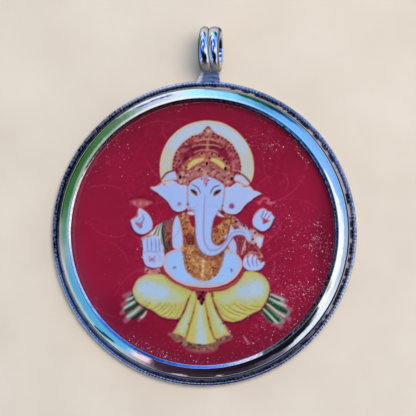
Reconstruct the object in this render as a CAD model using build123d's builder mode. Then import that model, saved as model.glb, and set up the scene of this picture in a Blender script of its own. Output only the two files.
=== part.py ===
"""A round picture pendant: a metal setting with a standing bail, a printed disc and a clear dome.

Lengths are in millimetres. The origin is the middle of the flat back face, +Z points out of the
picture and +Y points to the bail, so the pendant lies on its back on the plane z = 0.
"""

from build123d import *
import math
import os

# Printed disc and clear dome, which lie in the cup of the setting
picture_diameter = 34.8
picture_thickness = 1.1
dome_side_height = 0.25
dome_shoulder_radius = 0.5
dome_crown_rise = 0.24
fit_clearance = 0.05
seat_gap = 0.03

# Cup of the setting: a flat floor, and a wall rolled over into a rounded rim with an inner bevel
back_thickness = 0.8
back_edge_chamfer = 0.15
lip_overlap = 0.22
lip_thickness = 0.45
lip_edge_height = 0.29
bevel_width = 0.35
crown_width = 1.27
crown_drop = 0.8
crown_bulge = 0.055

# Foot of the wall: a thin ridge, a groove and a border wire with a round top
ridge_width = 0.35
ridge_height = 1.1
groove_width = 0.25
groove_floor_height = 0.55
border_wire_width = 0.6
border_wire_height = 1.0

# Bail: a ring of double half-round wire that stands on edge beside the disc
bail_outer_diameter = 6.1
bail_bore_diameter = 4.2
bail_width = 2.7
bail_rib_height = 0.5
bail_groove_depth = 0.42
bail_lift = 0.05
bail_side_offset = 0.4
bail_stand_off = 0.75

# Solder saddle that carries the bail on the border wire
saddle_root_width = 3.5
saddle_root_height = 0.85
saddle_root_depth = 0.45
saddle_lift = 0.1
saddle_end_width = 2.35
saddle_end_height = 2.2
saddle_end_drop = 0.85
saddle_end_inset = 0.15
saddle_corner_radius = 0.3

# Radii of the turned parts, from the picture outwards
picture_radius = picture_diameter / 2
cup_radius = picture_radius + fit_clearance
opening_radius = picture_radius - lip_overlap
crest_radius = opening_radius + bevel_width
rim_radius = crest_radius + crown_width
ridge_radius = rim_radius + ridge_width
border_inner_radius = ridge_radius + groove_width
border_radius = border_inner_radius + border_wire_width

# Heights, from the back face upwards
picture_bottom = back_thickness + seat_gap
picture_top = picture_bottom + picture_thickness
dome_bottom = picture_top + seat_gap
dome_side_top = dome_bottom + dome_side_height
dome_shoulder_top = dome_side_top + dome_shoulder_radius
shoulder_reach = dome_shoulder_radius - lip_overlap
dome_under_lip = dome_side_top + math.sqrt(dome_shoulder_radius**2 - shoulder_reach**2)
lip_bottom = dome_under_lip + fit_clearance
crest_height = lip_bottom + lip_thickness

# Places of the bail and its saddle
bail_radius = bail_outer_diameter / 2
bail_centre = Vector(
    bail_side_offset,
    border_radius + bail_stand_off + bail_radius,
    bail_lift + bail_radius,
)
saddle_end_y = bail_centre.Y - bail_bore_diameter / 2 - saddle_end_inset

os.makedirs("parts", exist_ok=True)

# Setting: cup, border wire, saddle and bail are soldered into one solid
with BuildPart() as setting:
    # Half section of the cup and its border wire, turned round the middle
    wire_shoulder = border_wire_height - border_wire_width / 2
    with BuildSketch(Plane.XZ):
        with BuildLine():
            Polyline(
                (0, back_thickness),
                (0, 0),
                (border_radius - back_edge_chamfer, 0),
                (border_radius, back_edge_chamfer),
                (border_radius, wire_shoulder),
            )
            ThreePointArc(
                (border_radius, wire_shoulder),
                (border_radius - border_wire_width / 2, border_wire_height),
                (border_inner_radius, wire_shoulder),
            )
            Polyline(
                (border_inner_radius, wire_shoulder),
                (border_inner_radius, groove_floor_height),
                (ridge_radius, groove_floor_height),
                (ridge_radius, ridge_height),
                (rim_radius, ridge_height),
                (rim_radius, crest_height - crown_drop),
            )
            ThreePointArc(
                (rim_radius, crest_height - crown_drop),
                (rim_radius - crown_width / 2, crest_height - crown_drop / 2 + crown_bulge),
                (crest_radius, crest_height),
            )
            Polyline(
                (crest_radius, crest_height),
                (opening_radius, lip_bottom + lip_edge_height),
                (opening_radius, lip_bottom),
                (cup_radius, lip_bottom),
                (cup_radius, back_thickness),
                (0, back_thickness),
            )
        make_face()
    revolve(axis=Axis.Z)

    # Bail: its section has a straight inner side and two half-round ribs outside
    bail_half = bail_width / 2
    rib_foot = bail_radius - bail_rib_height
    groove_foot = bail_radius - bail_groove_depth
    bail_section = Plane(origin=bail_centre, x_dir=(1, 0, 0), z_dir=(0, -1, 0))
    with BuildSketch(bail_section):
        with BuildLine():
            Polyline(
                (bail_half, rib_foot),
                (bail_half, bail_bore_diameter / 2),
                (-bail_half, bail_bore_diameter / 2),
                (-bail_half, rib_foot),
            )
            ThreePointArc((-bail_half, rib_foot), (-bail_half / 2, bail_radius), (0, groove_foot))
            ThreePointArc((0, groove_foot), (bail_half / 2, bail_radius), (bail_half, rib_foot))
        make_face()
    revolve(axis=Axis(bail_centre, (1, 0, 0)))

    # Saddle: a loft from a low wide root on the border wire to a high narrow end in the bail
    root_origin = (0, border_radius - saddle_root_depth, saddle_lift + saddle_root_height / 2)
    end_origin = (bail_side_offset, saddle_end_y, bail_centre.Z - saddle_end_drop)
    with BuildSketch(Plane(origin=root_origin, x_dir=(1, 0, 0), z_dir=(0, 1, 0))) as root:
        RectangleRounded(saddle_root_width, saddle_root_height, saddle_corner_radius)
    with BuildSketch(Plane(origin=end_origin, x_dir=(1, 0, 0), z_dir=(0, 1, 0))) as end:
        RectangleRounded(saddle_end_width, saddle_end_height, saddle_corner_radius)
    loft([root.sketch, end.sketch])
setting.part.label = "setting"
export_step(setting.part, "parts/setting.step")

# Printed disc: stiff card with the picture on its upper face
with BuildPart() as picture_disc:
    with BuildSketch(Plane.XY.offset(picture_bottom)):
        Circle(picture_radius)
    extrude(amount=picture_thickness)
picture_disc.part.label = "picture_disc"
export_step(picture_disc.part, "parts/picture_disc.step")

# Clear dome: a round shoulder under the lip and a low crown
with BuildPart() as clear_dome:
    shoulder_inner = picture_radius - dome_shoulder_radius
    shoulder_mid = dome_shoulder_radius * math.sqrt(0.5)
    crown_foot = (shoulder_inner, dome_shoulder_top)
    crown_top = (0, dome_shoulder_top + dome_crown_rise)
    crown_ball = (shoulder_inner**2 + dome_crown_rise**2) / (2 * dome_crown_rise)
    crown_fall = crown_ball - math.sqrt(crown_ball**2 - (shoulder_inner / 2) ** 2)
    with BuildSketch(Plane.XZ):
        with BuildLine():
            Polyline(
                crown_top,
                (0, dome_bottom),
                (picture_radius, dome_bottom),
                (picture_radius, dome_side_top),
            )
            ThreePointArc(
                (picture_radius, dome_side_top),
                (shoulder_inner + shoulder_mid, dome_side_top + shoulder_mid),
                crown_foot,
            )
            ThreePointArc(crown_foot, (shoulder_inner / 2, crown_top[1] - crown_fall), crown_top)
        make_face()
    revolve(axis=Axis.Z)
clear_dome.part.label = "clear_dome"
export_step(clear_dome.part, "parts/clear_dome.step")
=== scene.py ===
# %% [markdown]
# A round picture pendant, dressed for a photograph. It is a silvery cup with a rounded rim that holds a printed card
# under a clear dome, with a doubled-wire bail soldered to its edge. It lies on its back, face up. Shapes are written
# in millimetres, in the frame of the CAD model: +Z points out of the picture, +Y to the bail.

import bpy
import numpy as np
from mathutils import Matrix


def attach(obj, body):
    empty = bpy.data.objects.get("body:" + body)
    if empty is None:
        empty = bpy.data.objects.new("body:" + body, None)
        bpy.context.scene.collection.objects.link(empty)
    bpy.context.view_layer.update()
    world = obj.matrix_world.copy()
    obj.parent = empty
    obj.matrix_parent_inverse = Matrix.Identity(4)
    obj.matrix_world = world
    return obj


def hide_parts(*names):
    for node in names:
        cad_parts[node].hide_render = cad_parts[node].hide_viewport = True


# %% [markdown]
# The CAD solids come in as meshes in metres, one node each, and stay as they are. The new pieces are made in the same
# place and stand for them in the picture.

# %% Frame
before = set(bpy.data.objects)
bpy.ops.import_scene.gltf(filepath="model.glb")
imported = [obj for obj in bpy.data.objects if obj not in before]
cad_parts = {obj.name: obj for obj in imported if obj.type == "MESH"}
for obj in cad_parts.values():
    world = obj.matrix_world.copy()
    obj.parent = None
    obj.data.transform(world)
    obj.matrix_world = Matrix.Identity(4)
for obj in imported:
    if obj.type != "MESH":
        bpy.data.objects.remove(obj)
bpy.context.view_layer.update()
MM = 0.001
print("nodes of the frame:", sorted(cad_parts))

# %% [markdown]
# The main lengths are the ones that the pendant is made to. The picture lies in a cup of 0.8 mm sheet, the wall of
# the cup is rolled over its edge, and the border wire is soldered round the foot of the wall.

# %% Lengths
PICTURE_RADIUS = 17.4
PICTURE_BOTTOM, PICTURE_TOP = 0.83, 1.93
DOME_BOTTOM, DOME_SIDE_TOP, SHOULDER_RADIUS, CROWN_RISE = 1.96, 2.21, 0.5, 0.24
CUP_RADIUS, FLOOR_TOP = 17.45, 0.8
OPENING_RADIUS, LIP_BOTTOM, LIP_EDGE = 17.18, 2.674, 0.29
CREST_RADIUS, CREST_HEIGHT = 17.53, 3.124
RIM_RADIUS, RIM_EDGE_HEIGHT = 18.8, 2.324
RIDGE_RADIUS, RIDGE_HEIGHT = 19.15, 1.1
GROOVE_HEIGHT = 0.55
WIRE_INNER, WIRE_OUTER, WIRE_TOP = 19.4, 20.0, 1.0
BAIL_CENTRE = np.array([0.4, 23.8, 3.1])
BAIL_BORE, BAIL_WIDTH = 2.1, 2.7
print("disc", 2 * WIRE_OUTER, "mm across, rim", CREST_HEIGHT, "mm high")

# %% [markdown]
# Every new surface is a grid of points, so one helper turns a grid into a closed or open skin of four-sided faces. A
# row can close on itself, as round a ring, and an end row can be drawn together in one point, as at a pole. The other
# helpers give the outlines and the small unevenness that such grids are made from.

# %% Surface helper
def skin(name, points, wrap_rows=False, wrap_columns=False, start_pole=None, end_pole=None):
    """Mesh object from a grid of points, rows by columns. Face r, c joins points (r, c), (r, c + 1),
    (r + 1, c + 1) and (r + 1, c); a wrapped direction joins its last line to its first, and a pole is
    one more point joined to the whole first or last row. A skin whose volume, the sum of normal times
    place over its faces, comes out negative is turned right side out."""
    rows, columns = points.shape[:2]
    r, c = np.meshgrid(np.arange(rows - (not wrap_rows)), np.arange(columns - (not wrap_columns)), indexing="ij")
    below, right = (r + 1) % rows, (c + 1) % columns
    corners = [r * columns + c, r * columns + right, below * columns + right, below * columns + c]
    quads = np.stack(corners, -1).reshape(-1, 4)
    faces = quads.tolist()
    flat = points.reshape(-1, 3)
    ring = np.arange(columns - (not wrap_columns))
    first, second = ring, (ring + 1) % columns
    if start_pole is not None:
        faces += np.column_stack([second, first, np.full(len(ring), len(flat))]).tolist()
        flat = np.vstack([flat, start_pole])
    if end_pole is not None:
        last = (rows - 1) * columns
        faces += np.column_stack([last + first, last + second, np.full(len(ring), len(flat))]).tolist()
        flat = np.vstack([flat, end_pole])
    a, b, c, d = (flat[quads[:, i]] - flat.mean(0) for i in range(4))
    inside_out = (np.cross(b - a, c - a) * a + np.cross(c - a, d - a) * a).sum() < -1e-6
    mesh = bpy.data.meshes.new(name)
    mesh.from_pydata((flat * MM).tolist(), [], faces)
    mesh.polygons.foreach_set("use_smooth", np.full(len(mesh.polygons), True))
    if inside_out:
        mesh.flip_normals()
    mesh.update()
    obj = bpy.data.objects.new(name, mesh)
    bpy.context.scene.collection.objects.link(obj)
    print(f"{name}: {len(flat)} points, {len(faces)} faces")
    return obj


# %% Outline helpers
def turned(profile, count):
    """Points of a profile of (radius, height) rows turned round +Z: x = r cos a, y = r sin a, z = height,
    with one row for each profile point and one column for each angle a."""
    a = np.linspace(0, 2 * np.pi, count, endpoint=False)
    r, z = np.asarray(profile, float).T[:, :, None]
    return np.stack([r * np.cos(a), r * np.sin(a), z + 0 * a], axis=-1)


def bend(start, middle, end, steps):
    """Points on the circle through three points, from start to end, without the end itself."""
    (ax, ay), (bx, by), (cx, cy) = start, middle, end
    d = 2 * (ax * (by - cy) + bx * (cy - ay) + cx * (ay - by))
    sa, sb, sc = ax**2 + ay**2, bx**2 + by**2, cx**2 + cy**2
    ux = (sa * (by - cy) + sb * (cy - ay) + sc * (ay - by)) / d
    uy = (sa * (cx - bx) + sb * (ax - cx) + sc * (bx - ax)) / d
    angles = np.unwrap([np.arctan2(y - uy, x - ux) for x, y in (start, middle, end)])
    a = np.linspace(angles[0], angles[2], steps, endpoint=False)
    radius = np.hypot(ax - ux, ay - uy)
    return np.stack([ux + radius * np.cos(a), uy + radius * np.sin(a)], axis=1)


def rounded(points, radius, steps=4):
    """A profile whose inner corners are cut back by radius and bridged by a quadratic curve, which leans
    on the corner: (1-t)^2 A + 2t(1-t) corner + t^2 B."""
    p = np.asarray(points, float)
    out = [p[:1]]
    t = np.linspace(0, 1, steps)[:, None]
    for before, corner, after in zip(p[:-2], p[1:-1], p[2:]):
        legs = [(q - corner) / max(np.linalg.norm(q - corner), 1e-9) for q in (before, after)]
        cut = min(radius, *(0.45 * np.linalg.norm(q - corner) for q in (before, after)))
        a, b = corner + legs[0] * cut, corner + legs[1] * cut
        out.append((1 - t) ** 2 * a + 2 * t * (1 - t) * corner + t**2 * b)
    out.append(p[-1:])
    return np.vstack(out)


# %% Unevenness helpers
def ripple(angle, seed, lowest, highest):
    """A seamless uneven line round a ring: the sum of cos(k a + phase) over whole numbers k from lowest to
    highest, each with a random share, scaled to about -1 to 1."""
    rng = np.random.default_rng(seed)
    k = np.arange(lowest, highest + 1)
    share = rng.normal(0, 1, len(k))
    phase = rng.uniform(0, 2 * np.pi, len(k))
    total = (share * np.cos(np.asarray(angle)[..., None] * k + phase)).sum(-1)
    return total / (2 * np.sqrt((share**2).sum() / 2))


def sector(angle, start, end, soft=10.0):
    """1 between two bearings in degrees, falling to 0 within soft degrees outside them: 3 t^2 - 2 t^3 of
    t = 1 - (distance from the middle - half width) / soft, held to 0 to 1."""
    off = np.abs((np.degrees(angle) - (start + end) / 2 + 180) % 360 - 180)
    t = np.clip(1 - (off - (end - start) / 2) / soft, 0, 1)
    return t * t * (3 - 2 * t)


# %% [markdown]
# A material is made of a few shader nodes. One helper adds a node with its settings and its links, and one turns a
# screen colour into the linear one that the shader counts in.

# %% Colour helpers
def hex_rgb(code):
    """Red, green and blue from 0 to 1 of a colour written as a hex string."""
    return np.array([int(code[i:i + 2], 16) for i in (1, 3, 5)]) / 255


def to_linear(c):
    """Linear share of a screen share c: ((c + 0.055) / 1.055) ** 2.4 above 0.04045, c / 12.92 below."""
    return np.where(c > 0.04045, ((c + 0.055) / 1.055) ** 2.4, c / 12.92)


def linear(code):
    """Linear red, green, blue and alpha of a hex string."""
    return (*to_linear(hex_rgb(code)), 1.0)


# %% Material helpers
def node(tree, kind, settings=None, **inputs):
    """Adds a node. Settings are its own properties; each input is a value or another node's output, and
    its key is the input's name with _ for a space, or its number after an n."""
    new = tree.nodes.new(kind)
    for key, value in (settings or {}).items():
        setattr(new, key, value)
    for key, value in inputs.items():
        number = key[1:].isdigit() and key[0] == "n"
        socket = new.inputs[int(key[1:])] if number else new.inputs[key.replace("_", " ")]
        if isinstance(value, bpy.types.NodeSocket):
            tree.links.new(value, socket)
        else:
            socket.default_value = value
    return new


def ramp(tree, factor, stops):
    """Straight colour ramp through (place, hex colour or grey share) stops."""
    new = node(tree, "ShaderNodeValToRGB", Fac=factor)
    band = new.color_ramp.elements
    while len(band) < len(stops):
        band.new(0.5)
    for element, (place, code) in zip(band, stops):
        element.position = place
        element.color = linear(code) if isinstance(code, str) else (code, code, code, 1)
    return new.outputs["Color"]


def material(name):
    """An empty node material and its tree, with a Material Output."""
    made = bpy.data.materials.new(name)
    made.use_nodes = True
    made.node_tree.nodes.clear()
    return made, made.node_tree


def dress(obj, made, body="root", *, replaces=None, slot=None):
    """Gives a piece its material and the body it rides on, hides the node that it replaces, and prints these with its
    finish slot.
    """
    obj.data.materials.clear()
    obj.data.materials.append(made)
    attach(obj, body)
    if replaces:
        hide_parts(replaces)
    print(f"{obj.name}: {made.name}, rides on {body}, replaces {replaces}, slot {slot}")


# %% [markdown]
# The photograph was taken from 20 cm, nearly from above: the camera leans 4 degrees to the right of the pendant and
# 2.8 degrees towards its foot, and the pendant lies turned 1.5 degrees clockwise in the picture. The lens is a long
# one, so the disc stays almost round.

# %% Camera
LEAN_RIGHT, LEAN_DOWN, TURN = np.radians(4.0), np.radians(2.8), np.radians(1.5)
DISTANCE, MIDDLE_RIGHT, MIDDLE_UP, MIDDLE_HEIGHT = 200.0, 0.582, 3.257, 0.8
away = np.array([np.tan(LEAN_RIGHT), -np.tan(LEAN_DOWN), 1.0])
away /= np.linalg.norm(away)
level = np.array([1.0, 0, 0]) - away[0] * away
level /= np.linalg.norm(level)
upright = np.cross(away, level)
image_right = np.cos(TURN) * level + np.sin(TURN) * upright
image_up = np.cos(TURN) * upright - np.sin(TURN) * level
aim = np.array([0, 0, MIDDLE_HEIGHT]) + MIDDLE_RIGHT * image_right + MIDDLE_UP * image_up
camera = bpy.data.objects.new("camera", bpy.data.cameras.new("camera"))
camera.data.lens, camera.data.sensor_width = 132.2, 36.0
camera.data.clip_start, camera.data.clip_end = 0.01, 20
place = np.eye(4)
place[:3, 0], place[:3, 1], place[:3, 2], place[:3, 3] = image_right, image_up, away, (aim + DISTANCE * away) * MM
camera.matrix_world = place.T.tolist()
bpy.context.scene.collection.objects.link(camera)
bpy.context.scene.camera = camera
bpy.context.scene.view_settings.view_transform = "Standard"
print("camera at", (place[:3, 3] / MM).round(1), "mm")

# %% [markdown]
# The floor is a plain pale sheet, a little uneven in tone as any paper or cloth is.

# %% Floor
FLOOR_HALF, FLOOR_DROP = 1500, 0.01
edge = np.linspace(-FLOOR_HALF, FLOOR_HALF, 5)
floor_x, floor_y = np.meshgrid(edge, edge)
floor = skin("floor", np.stack([floor_x, floor_y, 0 * floor_x - FLOOR_DROP], -1))
floor_material, tree = material("pale_sheet")
at = node(tree, "ShaderNodeTexCoord").outputs["Object"]
clouds = node(tree, "ShaderNodeTexNoise", Vector=at, Scale=90.0, Detail=6.0)
floor_tint = ramp(tree, clouds.outputs["Fac"], [(0.3, "#CBC2B5"), (0.7, "#D4CCC0")])
sheet = node(tree, "ShaderNodeBsdfPrincipled", Base_Color=floor_tint, Roughness=0.85)
node(tree, "ShaderNodeOutputMaterial", Surface=sheet.outputs[0])
floor.data.materials.append(floor_material)

# %% [markdown]
# The pendant was photographed out of doors, and its polished metal shows what stood round it as bands. A mirror that
# tilts by some angle shows what lies twice that angle from the camera, so the sky is charted by the tilt and bearing
# of the metal that mirrors it. Five rings of it meet the foot of the rim's slope (tilt 39), its middle (34), its
# crest (27), the inner bevel (17), and the tops of wire and bail (0 to 10). Straight over the picture the sky is dim,
# as below a camera, so that the dome stays free of glare.

# %% Sky directions
world = bpy.data.worlds.new("soft_sky")
bpy.context.scene.world = world
world.use_nodes = True
tree = world.node_tree
tree.nodes.clear()
view_out = node(tree, "ShaderNodeTexCoord").outputs["Generated"]
facing = node(tree, "ShaderNodeVectorMath", {"operation": "ADD"}, n0=view_out, n1=tuple(away)).outputs["Vector"]
parts = node(tree, "ShaderNodeSeparateXYZ", Vector=facing)
bearing = node(tree, "ShaderNodeMath", {"operation": "ARCTAN2"}, n0=parts.outputs["Y"],
               n1=parts.outputs["X"]).outputs[0]
round_sky = node(tree, "ShaderNodeMath", {"operation": "MULTIPLY_ADD"}, n0=bearing, n1=0.5 / np.pi, n2=0.5)
flat_part = node(tree, "ShaderNodeVectorMath", {"operation": "MULTIPLY"}, n0=facing, n1=(1, 1, 0)).outputs["Vector"]
run = node(tree, "ShaderNodeVectorMath", {"operation": "LENGTH"}, n0=flat_part).outputs["Value"]
tilt_angle = node(tree, "ShaderNodeMath", {"operation": "ARCTAN2"}, n0=run, n1=parts.outputs["Z"])
tilt = node(tree, "ShaderNodeMath", {"operation": "DEGREES"}, n0=tilt_angle.outputs[0]).outputs[0]


def ring_of(colours):
    """A ring of (bearing in degrees, hex colour) as a ramp that closes on itself: place 0 is -X, 0.5 is +X."""
    stops = sorted(((bearing + 180) % 360 / 360, code) for bearing, code in colours)
    (first, first_code), (last, _) = stops[0], stops[-1]
    closing = [(1.0, first_code)] * (last < 1)
    return ramp(tree, round_sky.outputs[0], [(0.0, first_code)] * (first > 0) + stops + closing)


def under(above, below, start, end):
    """Colour that is above's where the tilt is less than start, below's over end, with a smooth change between."""
    share = node(tree, "ShaderNodeMapRange", {"interpolation_type": "SMOOTHSTEP"}, Value=tilt, From_Min=start,
                 From_Max=end)
    return node(tree, "ShaderNodeMix", {"data_type": "RGBA"}, Factor=share.outputs[0], n6=above,
                n7=below).outputs[2]


# %% Sky rings
# each stop is a bearing and a colour. Bearing 0 is +X and 90 is +Y: bright on the right and at the far side, green on
# the left, dark below
SKY_STRENGTH = 1.25
LOW_RING = [(-30, "#ECF6FC"), (-16, "#B4C6E0"), (0, "#9CBCE0"), (12, "#7CB6F4"), (44, "#6CAEF2"), (53, "#2E6CA8"),
            (61, "#123E48"), (74, "#1C5440"), (80, "#5090A0"), (86, "#A0D8EC"), (96, "#C4F4FF"), (108, "#F8F6FF"),
            (121, "#ECF0FF"), (127, "#B0BCC8"), (131, "#34603E"), (150, "#2A4A1E"), (174, "#2C582E"),
            (184, "#90988C"), (196, "#CCBEBE"), (210, "#98C0C8"), (234, "#A0C8D4"), (246, "#B0A0B0"),
            (254, "#382C38"), (290, "#2C2834"), (305, "#66627C"), (311, "#D6E4F0")]
MIDDLE_RING = [(-30, "#FFFFFF"), (2, "#FFFFFF"), (13, "#8CC4FF"), (54, "#74B4F8"), (66, "#4C96CC"), (78, "#84D0F4"),
               (96, "#B6F6FF"), (103, "#DCEAFA"), (109, "#C4D0EA"), (117, "#B8C4D8"), (122, "#88A490"),
               (128, "#5A8260"), (140, "#447648"), (150, "#366636"), (170, "#38703E"), (184, "#5C9478"),
               (191, "#88ACAC"), (200, "#5CA4C4"), (239, "#58B0E0"), (241.5, "#B8D0E4"), (243.5, "#FCE4EA"),
               (248.5, "#F0CCDA"), (252, "#402838"), (274, "#261A22"), (300, "#141016"), (316, "#221C26"),
               (321, "#3A3444"), (326, "#E8EEF8")]
CREST_RING = [(-28, "#4A3C4A"), (-25, "#DCCCC4"), (-19, "#E0D0C8"), (-16, "#FFFFFF"), (0, "#FFFFFF"),
              (11, "#8CC8FF"), (66, "#88CCFC"), (90, "#CCFCFF"), (103, "#FFF6F0"), (122, "#ECE2DE"),
              (134, "#AAB8AA"), (164, "#98B29C"), (180, "#9CB4D4"), (200, "#74AEE8"), (226, "#4494E8"),
              (240, "#4C80CC"), (248, "#182658"), (260, "#0C0C16"), (306, "#060609"), (328, "#161018")]
HIGH_RING = [(-40, "#0E1C2C"), (-35, "#C8C09C"), (-24, "#FFF4D8"), (-10, "#F0F0FA"), (3, "#A4B8EC"), (13, "#4C7CE4"),
             (30, "#2E70F0"), (56, "#2660D8"), (66, "#163890"), (76, "#2450BC"), (88, "#3C78F0"), (101, "#6C94F6"),
             (110, "#D4DCFC"), (117, "#DCE0FC"), (121, "#3C4458"), (130, "#0A1016"), (150, "#102840"),
             (180, "#123266"), (215, "#12305A"), (250, "#0E244A"), (285, "#08122C"), (310, "#0A1626")]
TOP_RING = [(0, "#3C60CC"), (45, "#3458C0"), (75, "#8CA8EC"), (95, "#E4EAFF"), (130, "#C8D4F8"), (180, "#D4DEFA"),
            (225, "#7C94EC"), (268, "#3058B8"), (300, "#4468C0"), (325, "#7C98DC")]
RINGS = (LOW_RING, MIDDLE_RING, CREST_RING, HIGH_RING, TOP_RING)
low, middle, crest, high, top = (ring_of(colours) for colours in RINGS)
sky_tint = under(under(under(under(top, high, 9, 13), crest, 21.6, 23.4), middle, 27.5, 31), low, 36, 38.5)
print("sky rings with", [len(colours) for colours in RINGS], "colours")

# %% Soft patches in the sky
# bearing and tilt of the metal that mirrors the patch, radius of its full part and of its edge, colour
PATCHES = (
    (88, 6.5, 5, 12, "#F4FAFF"), (226, 39, 2, 4.4, "#0C4440"), (230, 37, 2, 4.4, "#0C4440"),
    (278, 42, 0.8, 2.6, "#E0C8D0"), (262, 42.5, 0.8, 4.5, "#C0A8B8"), (244, 28.5, 2, 5, "#2C58A8"),
    (337, 31.5, 1.5, 4.5, "#C8B4A4"), (9, 30.5, 6, 10, "#F8FAFF"), (20, 28.5, 5, 8.5, "#F8FAFF"),
    (30, 26.5, 3, 5.5, "#F0F6FF"), (307, 36, 4, 7, "#120E14"), (315, 34, 4, 7, "#16121A"),
    (323, 31.5, 4, 6.5, "#221C26"), (329, 28.5, 2, 4, "#2E2632"), (108, 35.2, 0.5, 3.2, "#3C5488"),
    (113, 35.4, 0.5, 3.2, "#3C5488"), (118, 35.0, 0.5, 3.2, "#3C5C78"), (55, 38.5, 2.5, 6.5, "#2468A8"),
    (62, 38.6, 4, 8, "#123E48"), (71, 39, 4, 8, "#1C5440"), (86.5, 41, 4, 8, "#6090B0"),
    (0, 0.5, 8.4, 10.5, "#2C3038"),
)
for turned_to, leaning, full, outer, code in PATCHES:
    e, t = np.radians(turned_to), np.radians(leaning)
    mirror = np.array([np.cos(e) * np.sin(t), np.sin(e) * np.sin(t), np.cos(t)])
    toward = 2 * (mirror @ away) * mirror - away
    facing_it = node(tree, "ShaderNodeVectorMath", {"operation": "DOT_PRODUCT"}, n0=view_out,
                     n1=tuple(toward)).outputs["Value"]
    patch = node(tree, "ShaderNodeMapRange", {"interpolation_type": "SMOOTHSTEP"}, Value=facing_it,
                 From_Min=float(np.cos(np.radians(outer))), From_Max=float(np.cos(np.radians(full))))
    sky_tint = node(tree, "ShaderNodeMix", {"data_type": "RGBA"}, Factor=patch.outputs[0], n6=sky_tint,
                    n7=linear(code)).outputs[2]
sky = node(tree, "ShaderNodeBackground", Color=sky_tint, Strength=SKY_STRENGTH)
node(tree, "ShaderNodeOutputWorld", Surface=sky.outputs[0])
print("soft patches:", len(PATCHES))

# %% [markdown]
# One large soft lamp from the far right stands for the bright part of the sky. It evens out the blue of the rest and
# lets the rim throw a faint shadow on the picture's right edge.

# %% Lamp
lamp_data = bpy.data.lights.new("soft_panel", "AREA")
lamp_data.shape, lamp_data.size, lamp_data.energy = "DISK", 0.4, 3.25
lamp_data.color = (1.0, 0.88, 0.68)
lamp = bpy.data.objects.new("soft_panel", lamp_data)
lamp.location = (0.16, 0.14, 0.5)
lamp.rotation_euler = (np.radians(-16), np.radians(17), 0)
lamp.visible_glossy = False
bpy.context.scene.collection.objects.link(lamp)
print("lamp of", lamp_data.energy, "W")

# %% [markdown]
# The metal is brass or nickel silver with a thin bright silver-coloured plating, polished on a wheel. The plating is
# smooth, so it shows the sky in bands, but handling has left it with faint waves and fine scratches. Where the polish
# never reached, in the groove and between the notches, there is black tarnish and dried pinkish polish.

# %% Plated metal
def plated_metal(name, bright, dull_tone, crust_and_sheen, rough, waves, wear=0.0):
    """Polished plating: bright colour, roughness rough, with low waves of that bump strength. The red of the piece's
    dulling colour attribute turns it dull, for tarnish and also for painted shade and painted reflection. The green
    chooses the second dull colour instead of the first: dried crust on the cup and wire, a painted glint on the
    solder and a painted yellow reflection at the bail's foot. Wear adds small dull spots."""
    made, tree = material(name)
    at = node(tree, "ShaderNodeTexCoord").outputs["Object"]
    layer = node(tree, "ShaderNodeVertexColor", {"layer_name": "soil_and_painted_light"}).outputs["Color"]
    shares = node(tree, "ShaderNodeSeparateColor", Color=layer)
    # speckles 0.3 mm apart, polishing waves 2.4 mm and scratches 0.4 mm apart: the real grit is too fine to show
    speckle = node(tree, "ShaderNodeTexNoise", Vector=at, Scale=3600.0, Detail=3.0, Roughness=0.7).outputs["Fac"]
    spots = node(tree, "ShaderNodeMapRange", Value=speckle, From_Min=0.54, From_Max=0.7, To_Max=wear).outputs[0]
    dirt_and_painted_light = node(tree, "ShaderNodeMath", {"operation": "ADD", "use_clamp": True}, n0=shares.outputs[0],
                 n1=spots).outputs[0]
    dull = node(tree, "ShaderNodeMix", {"data_type": "RGBA"}, Factor=shares.outputs[1], n6=linear(dull_tone),
                n7=linear(crust_and_sheen))
    tint = node(tree, "ShaderNodeMix", {"data_type": "RGBA"}, Factor=dirt_and_painted_light, n6=linear(bright),
                n7=dull.outputs[2]).outputs[2]
    gloss = node(tree, "ShaderNodeMapRange", Value=dirt_and_painted_light, To_Min=rough, To_Max=0.5).outputs[0]
    crust_and_sheen_share = node(tree, "ShaderNodeMath", {"operation": "MULTIPLY"}, n0=dirt_and_painted_light, n1=shares.outputs[1]).outputs[0]
    bare = node(tree, "ShaderNodeMapRange", Value=crust_and_sheen_share, To_Min=1.0, To_Max=0.1).outputs[0]
    slow = node(tree, "ShaderNodeTexNoise", Vector=at, Scale=420.0, Detail=2.0).outputs["Fac"]
    fine = node(tree, "ShaderNodeTexNoise", Vector=at, Scale=2600.0, Detail=3.0).outputs["Fac"]
    soft = node(tree, "ShaderNodeBump", Strength=waves, Distance=0.00008, Height=slow).outputs[0]
    bumpy = node(tree, "ShaderNodeBump", Strength=waves * 0.6, Distance=0.00002, Height=fine,
                 Normal=soft).outputs[0]
    metal = node(tree, "ShaderNodeBsdfPrincipled", Base_Color=tint, Roughness=gloss, Normal=bumpy, Metallic=bare)
    node(tree, "ShaderNodeOutputMaterial", Surface=metal.outputs[0])
    return made


def soil_and_painted_light(obj, amount, crusty=0.0):
    """Writes the dulling colour attribute for each point of the piece: red is 0 clean to 1 dull, for soil and on some
    pieces for painted shade, and green is 0 for the first dull colour to 1 for the second, which is dried crust on
    some pieces and painted sheen on others. A pole at the end stays clean."""
    values = np.zeros((len(obj.data.vertices), 4))
    values[:np.size(amount), 0] = np.clip(amount, 0, 1).ravel()
    values[:np.size(amount), 1] = np.clip(crusty + 0 * amount, 0, 1).ravel()
    values[:, 3] = 1
    layer = obj.data.color_attributes.new("soil_and_painted_light", "FLOAT_COLOR", "POINT")
    layer.data.foreach_set("color", values.ravel())


# %% Mottled fields
def mottles(seed, shape, softness=1):
    """A field of soft random spots, 0 to 1: random numbers averaged with their neighbours softness times and
    spread out again by their own mean and deviation."""
    field = np.random.default_rng(seed).random(shape)
    for _ in range(softness):
        field = (field + np.roll(field, 1, 0) + np.roll(field, -1, 0)
                 + np.roll(field, 1, 1) + np.roll(field, -1, 1)) / 5
    return np.clip(0.5 + 0.3 * (field - field.mean()) / field.std(), 0, 1)
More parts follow.
